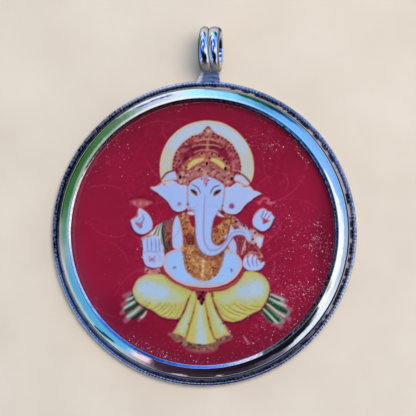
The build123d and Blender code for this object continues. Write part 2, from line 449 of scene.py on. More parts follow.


# %% The four metals
# the wire's plating is worn, the bail's is smooth with a painted yellow reflection at its foot, and solder sets with
# a soft uneven gloss
bright_plate = plated_metal("bright_plate", "#E4E6EA", "#10141E", "#BCB0B6", 0.05, 0.3, wear=0.12)
wire_plate = plated_metal("worn_wire_plate", "#D4DCF4", "#10183C", "#B8AEBC", 0.12, 0.8, wear=0.35)
bail_plate = plated_metal("bail_plate", "#DCE4FA", "#141420", "#A08A40", 0.1, 0.2, wear=0.1)
# the solder's colours are painted light: its blues are the sky that it mirrors, and its white is a painted glint
solder_metal = plated_metal("solder", "#A0BEFF", "#4068E8", "#FFFFFF", 0.16, 1.0, wear=0.25)
print("metals:", bright_plate.name, wire_plate.name, bail_plate.name, solder_metal.name)

# %% [markdown]
# The cup is turned from one profile. From the middle of its back it runs out to the edge, up into the groove, over
# the thin ridge, up the wall, over the crown of the rim, down the inner bevel to the lip, and back along the cup's
# floor. The crown is hand-polished, so its height wanders by a hundredth of a millimetre, and the lip has one small
# nick.

# %% Cup profile
BASE_RADIUS = 19.75
wall = np.array([(16.0, 0.0), (BASE_RADIUS - 0.15, 0.0), (BASE_RADIUS, 0.15), (BASE_RADIUS, 0.5),
                 (BASE_RADIUS - 0.3, GROOVE_HEIGHT), (RIDGE_RADIUS, GROOVE_HEIGHT), (RIDGE_RADIUS, 0.95),
                 (RIDGE_RADIUS, RIDGE_HEIGHT),
                 *((RIM_RADIUS + out, RIDGE_HEIGHT) for out in (0.32, 0.28, 0.22, 0.18, 0)), (RIM_RADIUS, 1.25),
                 (RIM_RADIUS, RIM_EDGE_HEIGHT - 0.1), (RIM_RADIUS, RIM_EDGE_HEIGHT)])
crown_middle = ((RIM_RADIUS + CREST_RADIUS) / 2, (RIM_EDGE_HEIGHT + CREST_HEIGHT) / 2 + 0.055)
crown = bend((RIM_RADIUS, RIM_EDGE_HEIGHT), crown_middle, (CREST_RADIUS, CREST_HEIGHT), 26)
share = np.linspace(0.08, 0.97, 7)[:, None]
slant = (1 - share) * (CREST_RADIUS, CREST_HEIGHT) + share * (OPENING_RADIUS, LIP_BOTTOM + LIP_EDGE)
lip = rounded([slant[-2], (OPENING_RADIUS, LIP_BOTTOM + LIP_EDGE), (OPENING_RADIUS, LIP_BOTTOM),
               (CUP_RADIUS, LIP_BOTTOM), (CUP_RADIUS, FLOOR_TOP), (CUP_RADIUS - 0.5, FLOOR_TOP)], 0.05, 4)[1:]
profile = np.vstack([rounded(wall, 0.05), crown[1:], [(CREST_RADIUS + 0.012, CREST_HEIGHT)], slant[:-1], lip])
print("cup profile:", len(profile), "points")

# %% Cup and rim
ROUND = 900
cup = turned(profile, ROUND)
angle = np.linspace(0, 2 * np.pi, ROUND, endpoint=False)
high_part = np.clip((profile[:, 1] - RIM_EDGE_HEIGHT) / 0.5, 0, 1)[:, None]
cup[..., 2] += high_part * (0.01 * ripple(angle, 3, 3, 14) + 0.003 * ripple(angle, 5, 20, 70))
cup[..., :2] *= (1 + high_part * 0.0005 * ripple(angle, 8, 4, 30))[..., None]
# the rim was rolled over a little more on the upper left, so the bevel is narrowest there
from_crest = np.interp(profile[:, 0], (OPENING_RADIUS, CREST_RADIUS, RIM_RADIUS), (0, 1, 0))[:, None]
rolled = (profile[:, :1] > CUP_RADIUS + 0.02) | (profile[:, 1:] > LIP_BOTTOM + 0.02)
uneven_roll = 0.09 * np.cos(angle + np.radians(45)) * from_crest * rolled
cup[..., :2] *= (1 + uneven_roll / CREST_RADIUS)[..., None]
NICK_BEARING = 138.5
nick = np.exp(-((np.degrees(angle) - NICK_BEARING) / 0.35) ** 2
              - ((profile[:, :1] - CREST_RADIUS - 0.4) / 0.25) ** 2)
cup[..., 2] += 0.03 * nick * (profile[:, 1:] > 2.2)
setting_cup = skin("cup_and_rim", cup, wrap_columns=True, start_pole=(0, 0, 0), end_pole=(0, 0, FLOOR_TOP))

# %% [markdown]
# Soil lies where a polishing wheel can't reach, and painted shade darkens the wall under the crown and the corner at
# its foot. Each band of the cup is told by its radius and height, and each share of it by its bearing, because the
# photograph shows more dried polish on the right and at the lower left.

# %% Cup soil and painted shade
r, z = profile.T[:, :, None]
grainy = mottles(11, (len(profile), ROUND))
strips = mottles(12, (1, ROUND), 5)
shaded_wall = (np.abs(r - RIM_RADIUS) < 0.04) * (z > RIDGE_HEIGHT + 0.04) * (z < RIM_EDGE_HEIGHT - 0.02)
on_ridge = (r > RIM_RADIUS + 0.2) * (r < RIDGE_RADIUS + 0.01) * (np.abs(z - RIDGE_HEIGHT) < 0.04)
shaded_corner = (r > RIM_RADIUS - 0.01) * (r < RIM_RADIUS + 0.2) * (np.abs(z - RIDGE_HEIGHT) < 0.04)
in_groove = (r > RIDGE_RADIUS - 0.02) * (r < 19.5) * (z > 0.45) * (z < RIDGE_HEIGHT - 0.04)
on_bevel = (r < CREST_RADIUS - 0.03) * (z > LIP_BOTTOM + 0.02)
inside_cup = (r < CUP_RADIUS + 0.01) * (z < LIP_BOTTOM + 0.02) * (z > FLOOR_TOP)
dark_side = sector(angle, 128, 182, 12)
pale_side = np.maximum(sector(angle, -25, 84, 12), 0.8 * sector(angle, 184, 246, 10))
# painted shade: the wall under the crown, mottled, and the corner at its foot are darkened where shade falls
amount = shaded_wall * (0.35 + 0.45 * grainy) + 0.96 * shaded_corner + in_groove * (0.75 + 0.25 * grainy) + 0.7 * inside_cup
blobs = np.clip((strips - 0.46) / 0.16, 0, 1)
outer_ridge = on_ridge * (r > RIM_RADIUS + 0.3)
low_side = sector(angle, 250, 330, 12)
amount = amount - (0.15 * in_groove + 0.3 * on_ridge) * sector(angle, 190, 246, 10)
ridge_part = np.maximum(pale_side, np.maximum(dark_side, 0.6 * low_side))
amount = amount + on_ridge * (0.25 + 0.55 * ridge_part + 0.2 * grainy)
amount = amount + on_bevel * (0.9 * np.clip((grainy - 0.45) / 0.2, 0, 1) * sector(angle, -38, 138, 14)
                              + 0.3 * np.clip((grainy - 0.6) / 0.2, 0, 1))
crusty = on_ridge * np.clip(pale_side + 0.3 - dark_side, 0, 1) * (0.6 + 0.4 * grainy)
crusty = crusty * (1 - 0.95 * outer_ridge * (1 - blobs) * sector(angle, -20, 84, 12))
crusty = crusty + in_groove * blobs * (0.2 + 0.6 * sector(angle, -30, 75, 20))
soil_and_painted_light(setting_cup, amount + 0 * crusty, crusty)
dress(setting_cup, bright_plate, replaces="setting", slot="silver_plate")

# %% [markdown]
# The border wire is a half-round wire, milled with small notches along its inner edge, bent round the cup and
# soldered to its base. It has 276 notches, about 0.45 mm apart. No two are worn alike: some hold black tarnish, and
# on some of the teeth between them pale polish has dried.

# %% Border wire
NOTCHES, STEPS, SHOULDER = 276, 8, 0.7
around = np.linspace(0, 2 * np.pi, NOTCHES * STEPS, endpoint=False)
wire_half = (WIRE_OUTER - WIRE_INNER) / 2
half_turn = np.linspace(0, np.pi, 13)
section = np.vstack([[(wire_half, 0.2), (wire_half, 0.45)],
                     np.column_stack([wire_half * np.cos(half_turn),
                                      SHOULDER + (WIRE_TOP - SHOULDER) * np.sin(half_turn)]),
                     [(-wire_half, 0.45), (-wire_half, 0.2)]])
out, up = section.T[:, :, None]
rng = np.random.default_rng(21)
each = np.repeat(rng.uniform(0.35, 1.0, NOTCHES), STEPS)
cut = (0.5 - 0.5 * np.cos(NOTCHES * around + 1.4 * ripple(around, 22, 2, 60))) ** 1.4 * each
low_left = sector(around, 172, 262, 14)
inner = np.clip((-0.08 - 0.13 * low_left - out) / 0.12, 0, 1) * (1 - 0.95 * low_left)
depth = 0.11 * cut * (0.22 + 0.78 * inner) * np.clip((up - 0.4) / 0.4, 0, 1)
radius = (WIRE_INNER + WIRE_OUTER) / 2 - 0.012 + 0.008 * ripple(around, 23, 2, 9) + out * (1 - 0.4 * depth)
tall = up - depth + 0.01 * ripple(around, 24, 3, 90) * (up > 0.5) - 0.012
wire = np.stack([radius * np.cos(around), radius * np.sin(around), tall], -1)
border_wire = skin("border_wire", wire, wrap_rows=True, wrap_columns=True)

# %% Wire soil
pale_share = 0.14 + 0.3 * sector(around, -25, 78, 20) + 0.16 * sector(around, 250, 330, 20)
pale_tooth = np.repeat(rng.random(NOTCHES), STEPS) < pale_share
specked = mottles(25, (len(section), len(around)), 2)
dark_run = (0.75 * sector(around, 132, 186, 14) + 0.1 * sector(around, 250, 300, 14)
            + 0.3 * sector(around, -4, 62, 14))
specks_on_top = 0.7 * np.clip((specked - 0.55) / 0.2, 0, 1)
on_top = (1 - inner) * (0.25 * cut + specks_on_top * (0.35 + dark_run) + 0.55 * dark_run)
amount = inner * np.clip(0.55 + 0.6 * cut + 0.3 * pale_tooth, 0, 1) + on_top
crusty = inner * pale_tooth * np.clip(1 - 2.2 * cut, 0, 1) * (0.4 + 0.6 * specked)
soil_and_painted_light(border_wire, amount, crusty)
dress(border_wire, wire_plate, replaces="setting", slot="silver_plate")

# %% [markdown]
# The bail is one length of half-round wire wound twice into a ring, so it shows two ribs with a groove between, and a
# plain inner side. As in any coil the groove slants: it wanders across by half a millimetre from the far side of the
# ring to the near side. The ring stands on edge, and its foot drowns in the solder that joins it to the disc.

# %% Bail profile
RIB_FOOT, RIB_HEIGHT, GROOVE_RADIUS, SLANT = 2.55, 0.5, 2.64, 0.27
lap = np.linspace(0, 2 * np.pi, 240, endpoint=False)
half = BAIL_WIDTH / 2
across = np.sin(np.linspace(-np.pi / 2, np.pi / 2, 19)) * half / 2
rib = RIB_FOOT + np.sqrt(np.clip(1 - (across / (half / 2)) ** 2, 0, 1)) * RIB_HEIGHT
ribs = np.vstack([np.column_stack([across - half / 2, rib])[1:-1], [(0, GROOVE_RADIUS)],
                  np.column_stack([across + half / 2, rib])[1:-1]])
inside = rounded([(half, 2.6), (half, BAIL_BORE), (0.02, BAIL_BORE), (-0.02, BAIL_BORE), (-half, BAIL_BORE),
                  (-half, 2.6)], 0.14, 5)
bail_profile = np.vstack([ribs, inside])
print("bail profile:", len(bail_profile), "points")

# %% Bail ring
bx, br = bail_profile.T[:, :, None]
slant_by = -SLANT * np.cos(lap) * (br > 2.3)
slid = bx + slant_by * np.clip(1 - np.abs(bx) / half, 0, 1)
uneven = 1 + (br > 2.3) * 0.006 * ripple(lap, 31, 2, 9)
sway = 0.03 * ripple(lap, 33, 1, 4)
leaning = -0.05 * br * np.sin(lap)
ring = np.stack([BAIL_CENTRE[0] + slid * 0.985 + sway + leaning, BAIL_CENTRE[1] + br * uneven * np.cos(lap) * 0.995,
                 BAIL_CENTRE[2] + br * uneven * np.sin(lap) * 0.995], -1)
bail = skin("bail_ring", ring, wrap_rows=True, wrap_columns=True)

# %% Bail soil, painted shade and painted reflection
# painted shade: the groove between the ribs, the ring's cheeks and the rib flanks are darkened, more on the left; the
# dull yellow at the foot is a painted reflection
between = np.exp(-(bx / 0.1) ** 2) * (br > 2.4)
shaded_cheeks = (np.abs(bx) > half - 0.06) * (br > 2.15) * (br < 2.62)
flanks = np.clip((np.abs(bx) - half + 0.3) / 0.2, 0, 1) * (br > 2.56)
foot_reflection = sector(lap, 150, 205, 22) * (br > 2.5)
far_end = sector(lap, -28, 28, 14) * (br > 2.5)
blots = mottles(35, (len(bail_profile), len(lap)), 3)
amount = (between * 0.85 + shaded_cheeks * (0.25 + 0.5 * (bx < 0)) + flanks * (0.75 + 0.25 * (bx < 0))
          + foot_reflection * (0.4 + 0.5 * blots) + 0.55 * far_end)
soil_and_painted_light(bail, amount, foot_reflection * (0.55 + 0.45 * blots))
bail.visible_glossy = False
dress(bail, bail_plate, replaces="setting", slot="silver_plate")

# %% [markdown]
# Hard solder has run from the border wire up to the foot of the bail and set as a lumpy saddle: wide and low at the
# disc, narrow and tall at the bail, with drawn-in flanks and a few frozen blobs.

# %% Solder saddle
# at the disc and at the bail: half width, half height and height of the middle
DISC_END, BAIL_END = (1.85, 0.42, 0.55), (1.04, 1.08, 2.2)
START_Y, LENGTH = 19.62, 1.93
along = np.linspace(0, 1, 44)[:, None]
turn = np.linspace(0, 2 * np.pi, 80, endpoint=False)
pull = along**1.5
half_wide = DISC_END[0] * (1 - along) ** 1.6 + BAIL_END[0] * (1 - (1 - along) ** 1.6)
half_tall = DISC_END[1] * (1 - pull) + BAIL_END[1] * pull
middle_z = DISC_END[2] * (1 - pull) + BAIL_END[2] * pull
side_x = BAIL_CENTRE[0] * along + half_wide * np.sign(np.cos(turn)) * np.abs(np.cos(turn)) ** 0.7
side_z = middle_z + half_tall * np.sign(np.sin(turn)) * np.abs(np.sin(turn)) ** 0.7
blob_x = side_x - BAIL_CENTRE[0] * along
lump = (0.07 * np.cos(5.2 * blob_x + 1.0) * np.cos(6.0 * along + 2.0 * blob_x)
        + 0.1 * (mottles(41, side_x.shape, 12) - 0.5))
side_x = side_x + lump * np.cos(turn)
side_z = np.maximum(side_z + lump * np.sin(turn), 0.12)
saddle_y = START_Y + LENGTH * along + 0 * turn
solder = skin("solder_saddle", np.stack([side_x, saddle_y, side_z], -1), wrap_columns=True,
              start_pole=(0, START_Y, DISC_END[2]), end_pole=(BAIL_CENTRE[0], START_Y + LENGTH, BAIL_END[2]))

# %% Saddle's painted reflection and glints
left_flank_glint = np.exp(-((turn - 2.45) / 0.4) ** 2) * sector(np.pi * along, 20, 130, 30)
lumps = mottles(43, side_x.shape, 8)
solder.visible_glossy = False
# painted light: the dull blue is the sky that the solder mirrors, and the white on its lumps and along its upper left
# flank is a painted glint
soil_and_painted_light(solder, 0.15 + 0.5 * lumps + 0.8 * left_flank_glint, 0.1 + 0.5 * lumps + 0.9 * left_flank_glint)
dress(solder, solder_metal, replaces="setting", slot="silver_plate")

# %% [markdown]
# The picture is a devotional print of seated Ganesha on crimson. It is drawn here as a printer's artist would draw
# it, with flat fills, tapered lines, soft ellipses and rows of dots, in millimetres from the middle of the disc. The
# canvas is the card's own grid of points. One even grid would need its fine step everywhere, so the lines stand a
# tenth of a millimetre apart over the figure and three times as far outside it. The print isn't quite straight in its
# card, and its lines wander a little, so each canvas point looks up a spot that is moved by a smooth random wave.

# %% Canvas lines
FIGURE_BOX = (-11.3, 11.9, -15.4, 15.2)
FINE_STEP = 0.105
COARSE_STEP = 0.33


def ruled_lines(low, high, fine_low, fine_high):
    """Grid lines from low to high: fine steps between fine_low and fine_high, coarse steps outside."""
    left = np.linspace(low, fine_low, max(2, round((fine_low - low) / COARSE_STEP)), endpoint=False)
    middle = np.linspace(fine_low, fine_high, round((fine_high - fine_low) / FINE_STEP), endpoint=False)
    right = np.linspace(fine_high, high, max(2, round((high - fine_high) / COARSE_STEP)) + 1)
    return np.concatenate([left, middle, right])


lines_x = ruled_lines(-PICTURE_RADIUS, PICTURE_RADIUS, *FIGURE_BOX[:2])
lines_y = ruled_lines(-PICTURE_RADIUS, PICTURE_RADIUS, *FIGURE_BOX[2:])
grid_x, grid_y = np.meshgrid(lines_x, lines_y)
canvas = np.stack([grid_x.ravel(), grid_y.ravel()], axis=1)
print("canvas lines:", len(lines_x), "by", len(lines_y))

# %% Canvas
# the print was stamped out a little low in its card, and its lines bleed a hundredth of a millimetre
STAMPED_AT = (0.07, 0.2)
EVERYWHERE = slice(None)
rng = np.random.default_rng(4)
bleed = np.zeros_like(canvas)
for _ in range(14):
    wave = rng.normal(0, 3.2, 2)
    bleed += rng.normal(0, 0.008, 2) * np.sin(canvas @ wave + rng.uniform(0, 6.3))[:, None]
spot = canvas + STAMPED_AT + bleed
ink = np.zeros((len(spot), 3))
print("canvas points:", len(spot))


# %% [markdown]
# A printed figure is flat fills, tapered lines, soft spots and mottled patches. Each brush finds the canvas points
# near its shape, works out how far they lie inside it, and mixes its colour in by that depth, so that every edge is
# as soft as ink on card.

# %% Curves
def smooth_step(t):
    """0 below 0, 1 above 1 and 3t^2 - 2t^3 between, so that an edge has no corner."""
    t = np.clip(t, 0, 1)
    return t * t * (3 - 2 * t)


def curve(points, closed=False, steps=7):
    """Smooth curve through rows of numbers: each span is the cubic that leaves its first point along half
    the step between that point's neighbours, and reaches its last point the same way."""
    p = np.asarray(points, float)
    if closed:
        p0, p1, p2, p3 = np.roll(p, 1, 0), p, np.roll(p, -1, 0), np.roll(p, -2, 0)
    else:
        ends = np.vstack([2 * p[0] - p[1], p, 2 * p[-1] - p[-2]])
        p0, p1, p2, p3 = ends[:-3], ends[1:-2], ends[2:-1], ends[3:]
    t = np.linspace(0, 1, steps, endpoint=False)[:, None, None]
    cubic = 2 * p1 + (p2 - p0) * t + (2 * p0 - 5 * p1 + 4 * p2 - p3) * t**2
    cubic = 0.5 * (cubic + (3 * p1 - p0 - 3 * p2 + p3) * t**3)
    line = cubic.transpose(1, 0, 2).reshape(-1, p.shape[1])
    return line if closed else np.vstack([line, p[-1]])


# %% Distances
def near(path, reach):
    """Numbers of the canvas points in the path's box, widened by reach."""
    low, high = path[:, :2].min(0) - reach, path[:, :2].max(0) + reach
    return np.nonzero(((spot > low) & (spot < high)).all(1))[0]


def gap_to(where, path):
    """Distance of each point from the nearest straight piece of the path, and the place of that
    foot along the path, counted in pieces."""
    start, leg = path[:-1, :2], np.diff(path[:, :2], axis=0)
    reach = where[:, None] - start
    share = np.clip((reach * leg).sum(-1) / np.maximum((leg * leg).sum(-1), 1e-12), 0, 1)
    gap = np.linalg.norm(reach - share[..., None] * leg, axis=-1)
    best = gap.argmin(1)
    rows = np.arange(len(where))
    return gap[rows, best], best + share[rows, best]


def within(where, path):
    """True where a ray to the right crosses the closed path an odd number of times."""
    x, y = where[:, :1], where[:, 1:]
    x0, y0 = path.T
    x1, y1 = np.roll(path, -1, 0).T
    rise = np.where(y1 == y0, 1e-9, y1 - y0)
    crossed = ((y0 > y) != (y1 > y)) & (x < x0 + (y - y0) * (x1 - x0) / rise)
    return crossed.sum(1) % 2 == 1


# %% Brushes
def lay(at, cover, colour):
    """Mixes a colour into the canvas points: old ink times 1 - cover, plus colour times cover."""
    ink[at] += (colour - ink[at]) * cover[:, None]


def fill(points, colour, rim=None, reach=0.5, soft=0.07, cover=1.0):
    """Fills a closed smooth outline. Its colour runs from rim at the edge to colour at depth reach.
    Returns the cover of the whole canvas, so that details can be kept inside the shape."""
    path = curve(points, closed=True)
    at = near(path, soft)
    gap, _ = gap_to(spot[at], np.vstack([path, path[:1]]))
    depth = np.where(within(spot[at], path), gap, -gap)
    inner = smooth_step(depth / reach)[:, None]
    tint = hex_rgb(colour) * inner + hex_rgb(rim or colour) * (1 - inner)
    part = smooth_step((depth + soft) / (2 * soft)) * cover
    lay(at, part, tint)
    whole = np.zeros(len(spot))
    whole[at] = part
    return whole


def stroke(points, colour, cover=1.0, soft=0.06, inside=None):
    """Draws a smooth line whose rows are x, y and width; the cover falls off at half the width."""
    path = curve(points)
    at = near(path, path[:, 2].max() / 2 + soft)
    gap, place = gap_to(spot[at], path)
    half = np.interp(place, np.arange(len(path)), path[:, 2]) / 2
    part = smooth_step((half + soft - gap) / (2 * soft)) * cover
    if inside is not None:
        part = part * inside[at]
    lay(at, part, hex_rgb(colour))


def blot(x, y, wide, tall, colour, cover=1.0, turn=0.0, edge=1.0, inside=None):
    """A soft ellipse: the cover falls from the middle to nothing at half the width and height.
    With a small edge the middle stays full and only the outer share falls off."""
    at = near(np.array([[x, y]]), max(wide, tall) / 2)
    dx, dy = (spot[at] - (x, y)).T
    c, s = np.cos(np.radians(turn)), np.sin(np.radians(turn))
    r = np.hypot((dx * c + dy * s) / (wide / 2), (dy * c - dx * s) / (tall / 2))
    part = smooth_step((1 - r) / edge) * cover
    if inside is not None:
        part = part * inside[at]
    lay(at, part, hex_rgb(colour))


# %% Mottled ink
def mottle(inside, grain, colour, cover, share, seed):
    """Lays a colour in soft random patches: random heights stand on a slanting square lattice one grain apart,
    the height between them is blended with smooth_step, and the highest share of it takes the colour."""
    heights = np.random.default_rng(seed).random((256, 256))
    at = np.nonzero(inside > 0)[0]
    place = (spot[at] @ ((0.8, -0.6), (0.6, 0.8)) + 30) / grain
    i, j = place.astype(int).T
    tx, ty = smooth_step(place % 1).T
    low = heights[i, j] + (heights[i + 1, j] - heights[i, j]) * tx
    high = heights[i, j + 1] + (heights[i + 1, j + 1] - heights[i, j + 1]) * tx
    level = low + (high - low) * ty
    lay(at, smooth_step((level - 1 + share) / 0.25 + 0.5) * cover * inside[at], hex_rgb(colour))


# %% Dots and arcs
def dots(path, size, colour, cover):
    """A row of round dots, one at each row of the path."""
    for x, y in path:
        blot(x, y, size, size, colour, cover, edge=0.6)


def arc(cx, cy, radius, start, end, count, width=None):
    """Points on a circle between two angles in degrees, with a width as third column if asked."""
    a = np.radians(np.linspace(start, end, count))
    rows = [cx + radius * np.cos(a), cy + radius * np.sin(a)]
    if width is not None:
        rows.append(np.full(count, width))
    return np.stack(rows, axis=1)


def drawn(name):
    """Prints what was drawn, and the ink's mean red, green and blue so far."""
    print(f"{name}: mean ink {ink.mean(0).round(3)}")


# %% [markdown]
# The ground is one crimson ink that came out a little cloudy. It is darker towards the top, the foot and the lower
# left, and painted shade darkens it all round the edge, most at the right edge, where the rim shades the card. The
# clouds are a sum of random waves, the grain is mottled, and the hair-fine scratches are short arcs.

# %% Printed ground
rng = np.random.default_rng(7)
ink[:] = hex_rgb("#94193E")
x, y = spot.T
cloud = np.zeros(len(spot))
for _ in range(26):
    wave = rng.normal(0, 0.55, 2)
    cloud += np.sin(x * wave[0] + y * wave[1] + rng.uniform(0, 6.3))
cloud = cloud / 26**0.5
lay(EVERYWHERE, np.clip(cloud, 0, 1) * 0.35, hex_rgb("#9C2247"))
lay(EVERYWHERE, np.clip(-cloud, 0, 1) * 0.35, hex_rgb("#841634"))
lay(EVERYWHERE, smooth_step((np.abs(y) - 7) / 7) * 0.6, hex_rgb("#7C1632"))
# painted shade under the rim, all round the edge
lay(EVERYWHERE, smooth_step((np.hypot(x, y) - 14.5) / 3.2) * 0.45, hex_rgb("#6E1A36"))
blot(-10.5, -11.0, 14, 11, "#6C0A2A", 0.55)
# painted shade inside the right edge, under the rim
blot(16.0, -1.0, 5, 20, "#6A1230", 0.6)

# %% Printed grain
# the print has a fine grain, and a haze of lighter grain lies at the lower right
fine_part = smooth_step((11.6 - np.abs(x)) / 1.2) * smooth_step((15.0 - np.abs(y)) / 1.2)
haze = fine_part * smooth_step((x - 4.5) / 3.5) * smooth_step((5 - y) / 5)
mottle(fine_part, 0.34, "#A22E54", 0.26, 0.26, seed=31)
mottle(fine_part, 0.3, "#7C1230", 0.3, 0.3, seed=32)
mottle(haze, 0.24, "#B4567E", 0.5, 0.17, seed=33)
mottle(haze, 0.26, "#6E1234", 0.4, 0.24, seed=34)

# %% Scratches
# hair-fine and lighter than the ground, each a short arc
for _ in range(100):
    cx, cy = rng.uniform(-15, 15, 2)
    radius = rng.uniform(0.8, 7)
    start = rng.uniform(0, 360)
    sweep = rng.uniform(20, 110)
    line = arc(cx, cy, radius, start, start + sweep, 7, width=rng.uniform(0.05, 0.18))
    stroke(line, "#B64E6C", cover=rng.uniform(0.15, 0.5), soft=0.11)
drawn("ground")

# %% [markdown]
# A cream ring stands round the head, bluish where it catches the sky above. It is laid as wide arcs, one over the
# other, from its dark outline to its pale middle.

# %% Halo
HEAD = (0.28, 8.7)
stroke(arc(*HEAD, 5.27, -17, 198, 28, width=1.98), "#6B1A30", cover=0.45, soft=0.25)
stroke(arc(*HEAD, 5.3, -16, 197, 28, width=1.72), "#C8B2A0", soft=0.1)
stroke(arc(*HEAD, 5.28, -16, 197, 28, width=1.36), "#BCC2BE", soft=0.2)
stroke(arc(*HEAD, 5.25, 28, 148, 18, width=1.1), "#AFCAF0", cover=0.85, soft=0.5)
stroke(arc(*HEAD, 5.15, -10, 40, 9, width=0.7), "#B4C6D6", cover=0.6, soft=0.5)
stroke(arc(*HEAD, 6.08, -16, 197, 28, width=0.12), "#DCD2AC", cover=0.6, soft=0.12)
drawn("halo")

# %% [markdown]
# The crown is a tall dome of red cloth sewn with beads: a mottled band along its edge, four bows across its front, a
# small spire, and a pair of yellow bands over the brow. Mottled patches stand for beadwork too fine for the print.

# %% Crown
dome = fill(arc(*HEAD, 4.45, 0, 342, 20)[:, :2], "#862040", rim="#94505A", reach=0.7, soft=0.14)
from_head = np.hypot(*(spot - HEAD).T)
outer = dome * smooth_step((from_head - 3.0) / 0.7)
lay(EVERYWHERE, outer * 0.45, hex_rgb("#9C5258"))
mottle(outer, 0.36, "#B8747A", 0.7, 0.42, seed=3)
mottle(outer, 0.24, "#D2A896", 0.55, 0.22, seed=4)
mottle(dome, 0.3, "#561226", 0.55, 0.34, seed=5)
mottle(dome, 0.36, "#A45F5C", 0.4, 0.25, seed=6)
drawn("crown cloth")

# %% Crown beads
rng = np.random.default_rng(12)
edge_dots = arc(*HEAD, 4.36, -9, 189, 31)
dots(edge_dots + rng.normal(0, 0.05, edge_dots.shape), 0.4, "#5A1420", 0.85)
inner_dots = arc(*HEAD, 3.2, 5, 175, 20)
dots(inner_dots + rng.normal(0, 0.09, inner_dots.shape), 0.34, "#5E1424", 0.7)
drawn("crown beads")

# %% Bows and spire
for height, left, right in ((12.62, -0.6, 1.2), (12.3, -1.1, 1.7), (11.6, -1.65, 2.1), (10.9, -1.35, 1.7)):
    bow = [(left, height - 0.3, 0.2), (left + 0.6, height - 0.04, 0.26), (0.3, height + 0.06, 0.32),
           (right - 0.6, height - 0.04, 0.26), (right, height - 0.3, 0.2)]
    stroke([(px, py - 0.12, w) for px, py, w in bow], "#5E1426", 0.7, soft=0.12)
    stroke([(px, py + 0.03, w * 0.7) for px, py, w in bow], "#C29078", 0.85, soft=0.08)
stroke([(0.35, 13.3, 0.44), (0.34, 12.2, 0.34), (0.33, 11.2, 0.4), (0.33, 10.2, 0.5)], "#BE8C76", 0.75, soft=0.14)
spire = fill([(-0.8, 12.9), (-0.35, 13.35), (0.0, 13.85), (0.36, 14.12), (0.72, 13.85), (1.05, 13.4), (1.5, 12.9),
              (0.35, 12.6)], "#A2686A", rim="#6E2230", reach=0.3, soft=0.1)
mottle(spire, 0.26, "#C8A498", 0.7, 0.4, seed=7)
blot(0.42, 13.45, 0.6, 0.9, "#D4C4BC", 0.85)
dots([(-0.3, 13.05), (1.05, 13.05), (-0.65, 12.75), (0.0, 13.5)], 0.34, "#5E1424", 0.75)
drawn("bows and spire")

# %% Yellow bands
ochre = fill([(-2.75, 9.2), (-1.8, 10.1), (-0.7, 10.62), (0.3, 10.8), (1.4, 10.62), (2.4, 10.1), (3.2, 9.3),
              (3.4, 8.1), (2.4, 8.5), (0.3, 8.8), (-2.0, 8.4), (-3.1, 8.1)], "#A45C5A", rim="#8A3E44", reach=0.3,
             soft=0.16)
mottle(ochre, 0.28, "#C49070", 0.75, 0.4, seed=8)
mottle(ochre, 0.24, "#6E2430", 0.6, 0.26, seed=9)
dots([(-2.4, 9.85), (-1.45, 10.3), (-0.4, 10.5), (0.92, 10.48), (1.9, 10.2), (2.55, 9.75)], 0.44, "#560F1C", 0.9)
for side in (-1, 1):
    band = [(0.3 + side * 0.62, 9.74, 0.5), (0.3 + side * 1.3, 9.56, 0.7), (0.3 + side * 1.95, 9.14, 0.74),
            (0.3 + side * 2.45, 8.6, 0.52)]
    stroke(band, "#94694A", 0.85, soft=0.14)
    stroke([(px, py, w * 0.84) for px, py, w in band], "#C8BC7E", soft=0.12)
drawn("yellow bands")

# %% Brow band
brow_band = fill([(-3.3, 8.1), (-2.4, 8.2), (-1.2, 8.75), (0.3, 8.9), (1.8, 8.75), (3.0, 8.2), (3.9, 8.0),
                  (3.75, 6.7), (3.0, 6.2), (1.8, 7.2), (0.3, 7.42), (-1.2, 7.2), (-2.4, 6.35), (-3.25, 6.6)],
                 "#A86E70", rim="#8A444A", reach=0.3, soft=0.14)
mottle(brow_band, 0.3, "#C8A29C", 0.75, 0.45, seed=10)
mottle(brow_band, 0.24, "#76303C", 0.7, 0.28, seed=11)
dots([(-2.35, 8.66), (-0.6, 8.5), (1.2, 8.5), (-1.97, 6.84), (2.42, 6.84), (2.7, 7.4), (-3.6, 8.15), (4.1, 8.1),
      (-2.6, 7.4), (0.62, 9.9), (-3.3, 9.5), (2.9, 9.3)], 0.42, "#5A1020", 0.88)
dots([(-1.6, 8.1), (-0.3, 8.2), (0.9, 8.2), (2.0, 8.0), (-2.8, 6.6), (3.4, 6.5), (3.2, 7.8), (2.9, 6.55)], 0.32,
     "#702838", 0.7)
for px, py in ((-2.75, 8.05), (3.0, 8.05), (-2.5, 6.95), (3.25, 6.9), (-2.95, 6.75)):
    blot(px, py, 0.46, 0.38, "#D2BCA6", 0.85)
blot(0.31, 9.22, 0.72, 0.92, "#B88C86", 0.85, edge=0.5)
for px, py in ((0.3, 9.22), (2.77, 8.6), (-3.1, 7.36), (3.62, 7.3)):
    blot(px, py, 0.5, 0.74, "#1C060E", 0.97, edge=0.6)
drawn("brow band")

# %% [markdown]
# A pleated sash comes out behind each knee and spreads like a fan. Each pleat is a line that widens towards its tip,
# drawn from the faint pink ones behind to the pale and dark green ones in front.

# %% Sash ends
def pleated(stripes, tone, cover, soft):
    """Draws several tapered stripes in one colour, each from its narrow root to its wide tip."""
    for x0, y0, x1, y1, wide in stripes:
        middle = ((x0 + x1) / 2 + 0.04, (y0 + y1) / 2 - 0.06, wide)
        stroke([(x0, y0, wide * 0.5), middle, (x1, y1, wide * 0.8)], tone, cover, soft=soft)


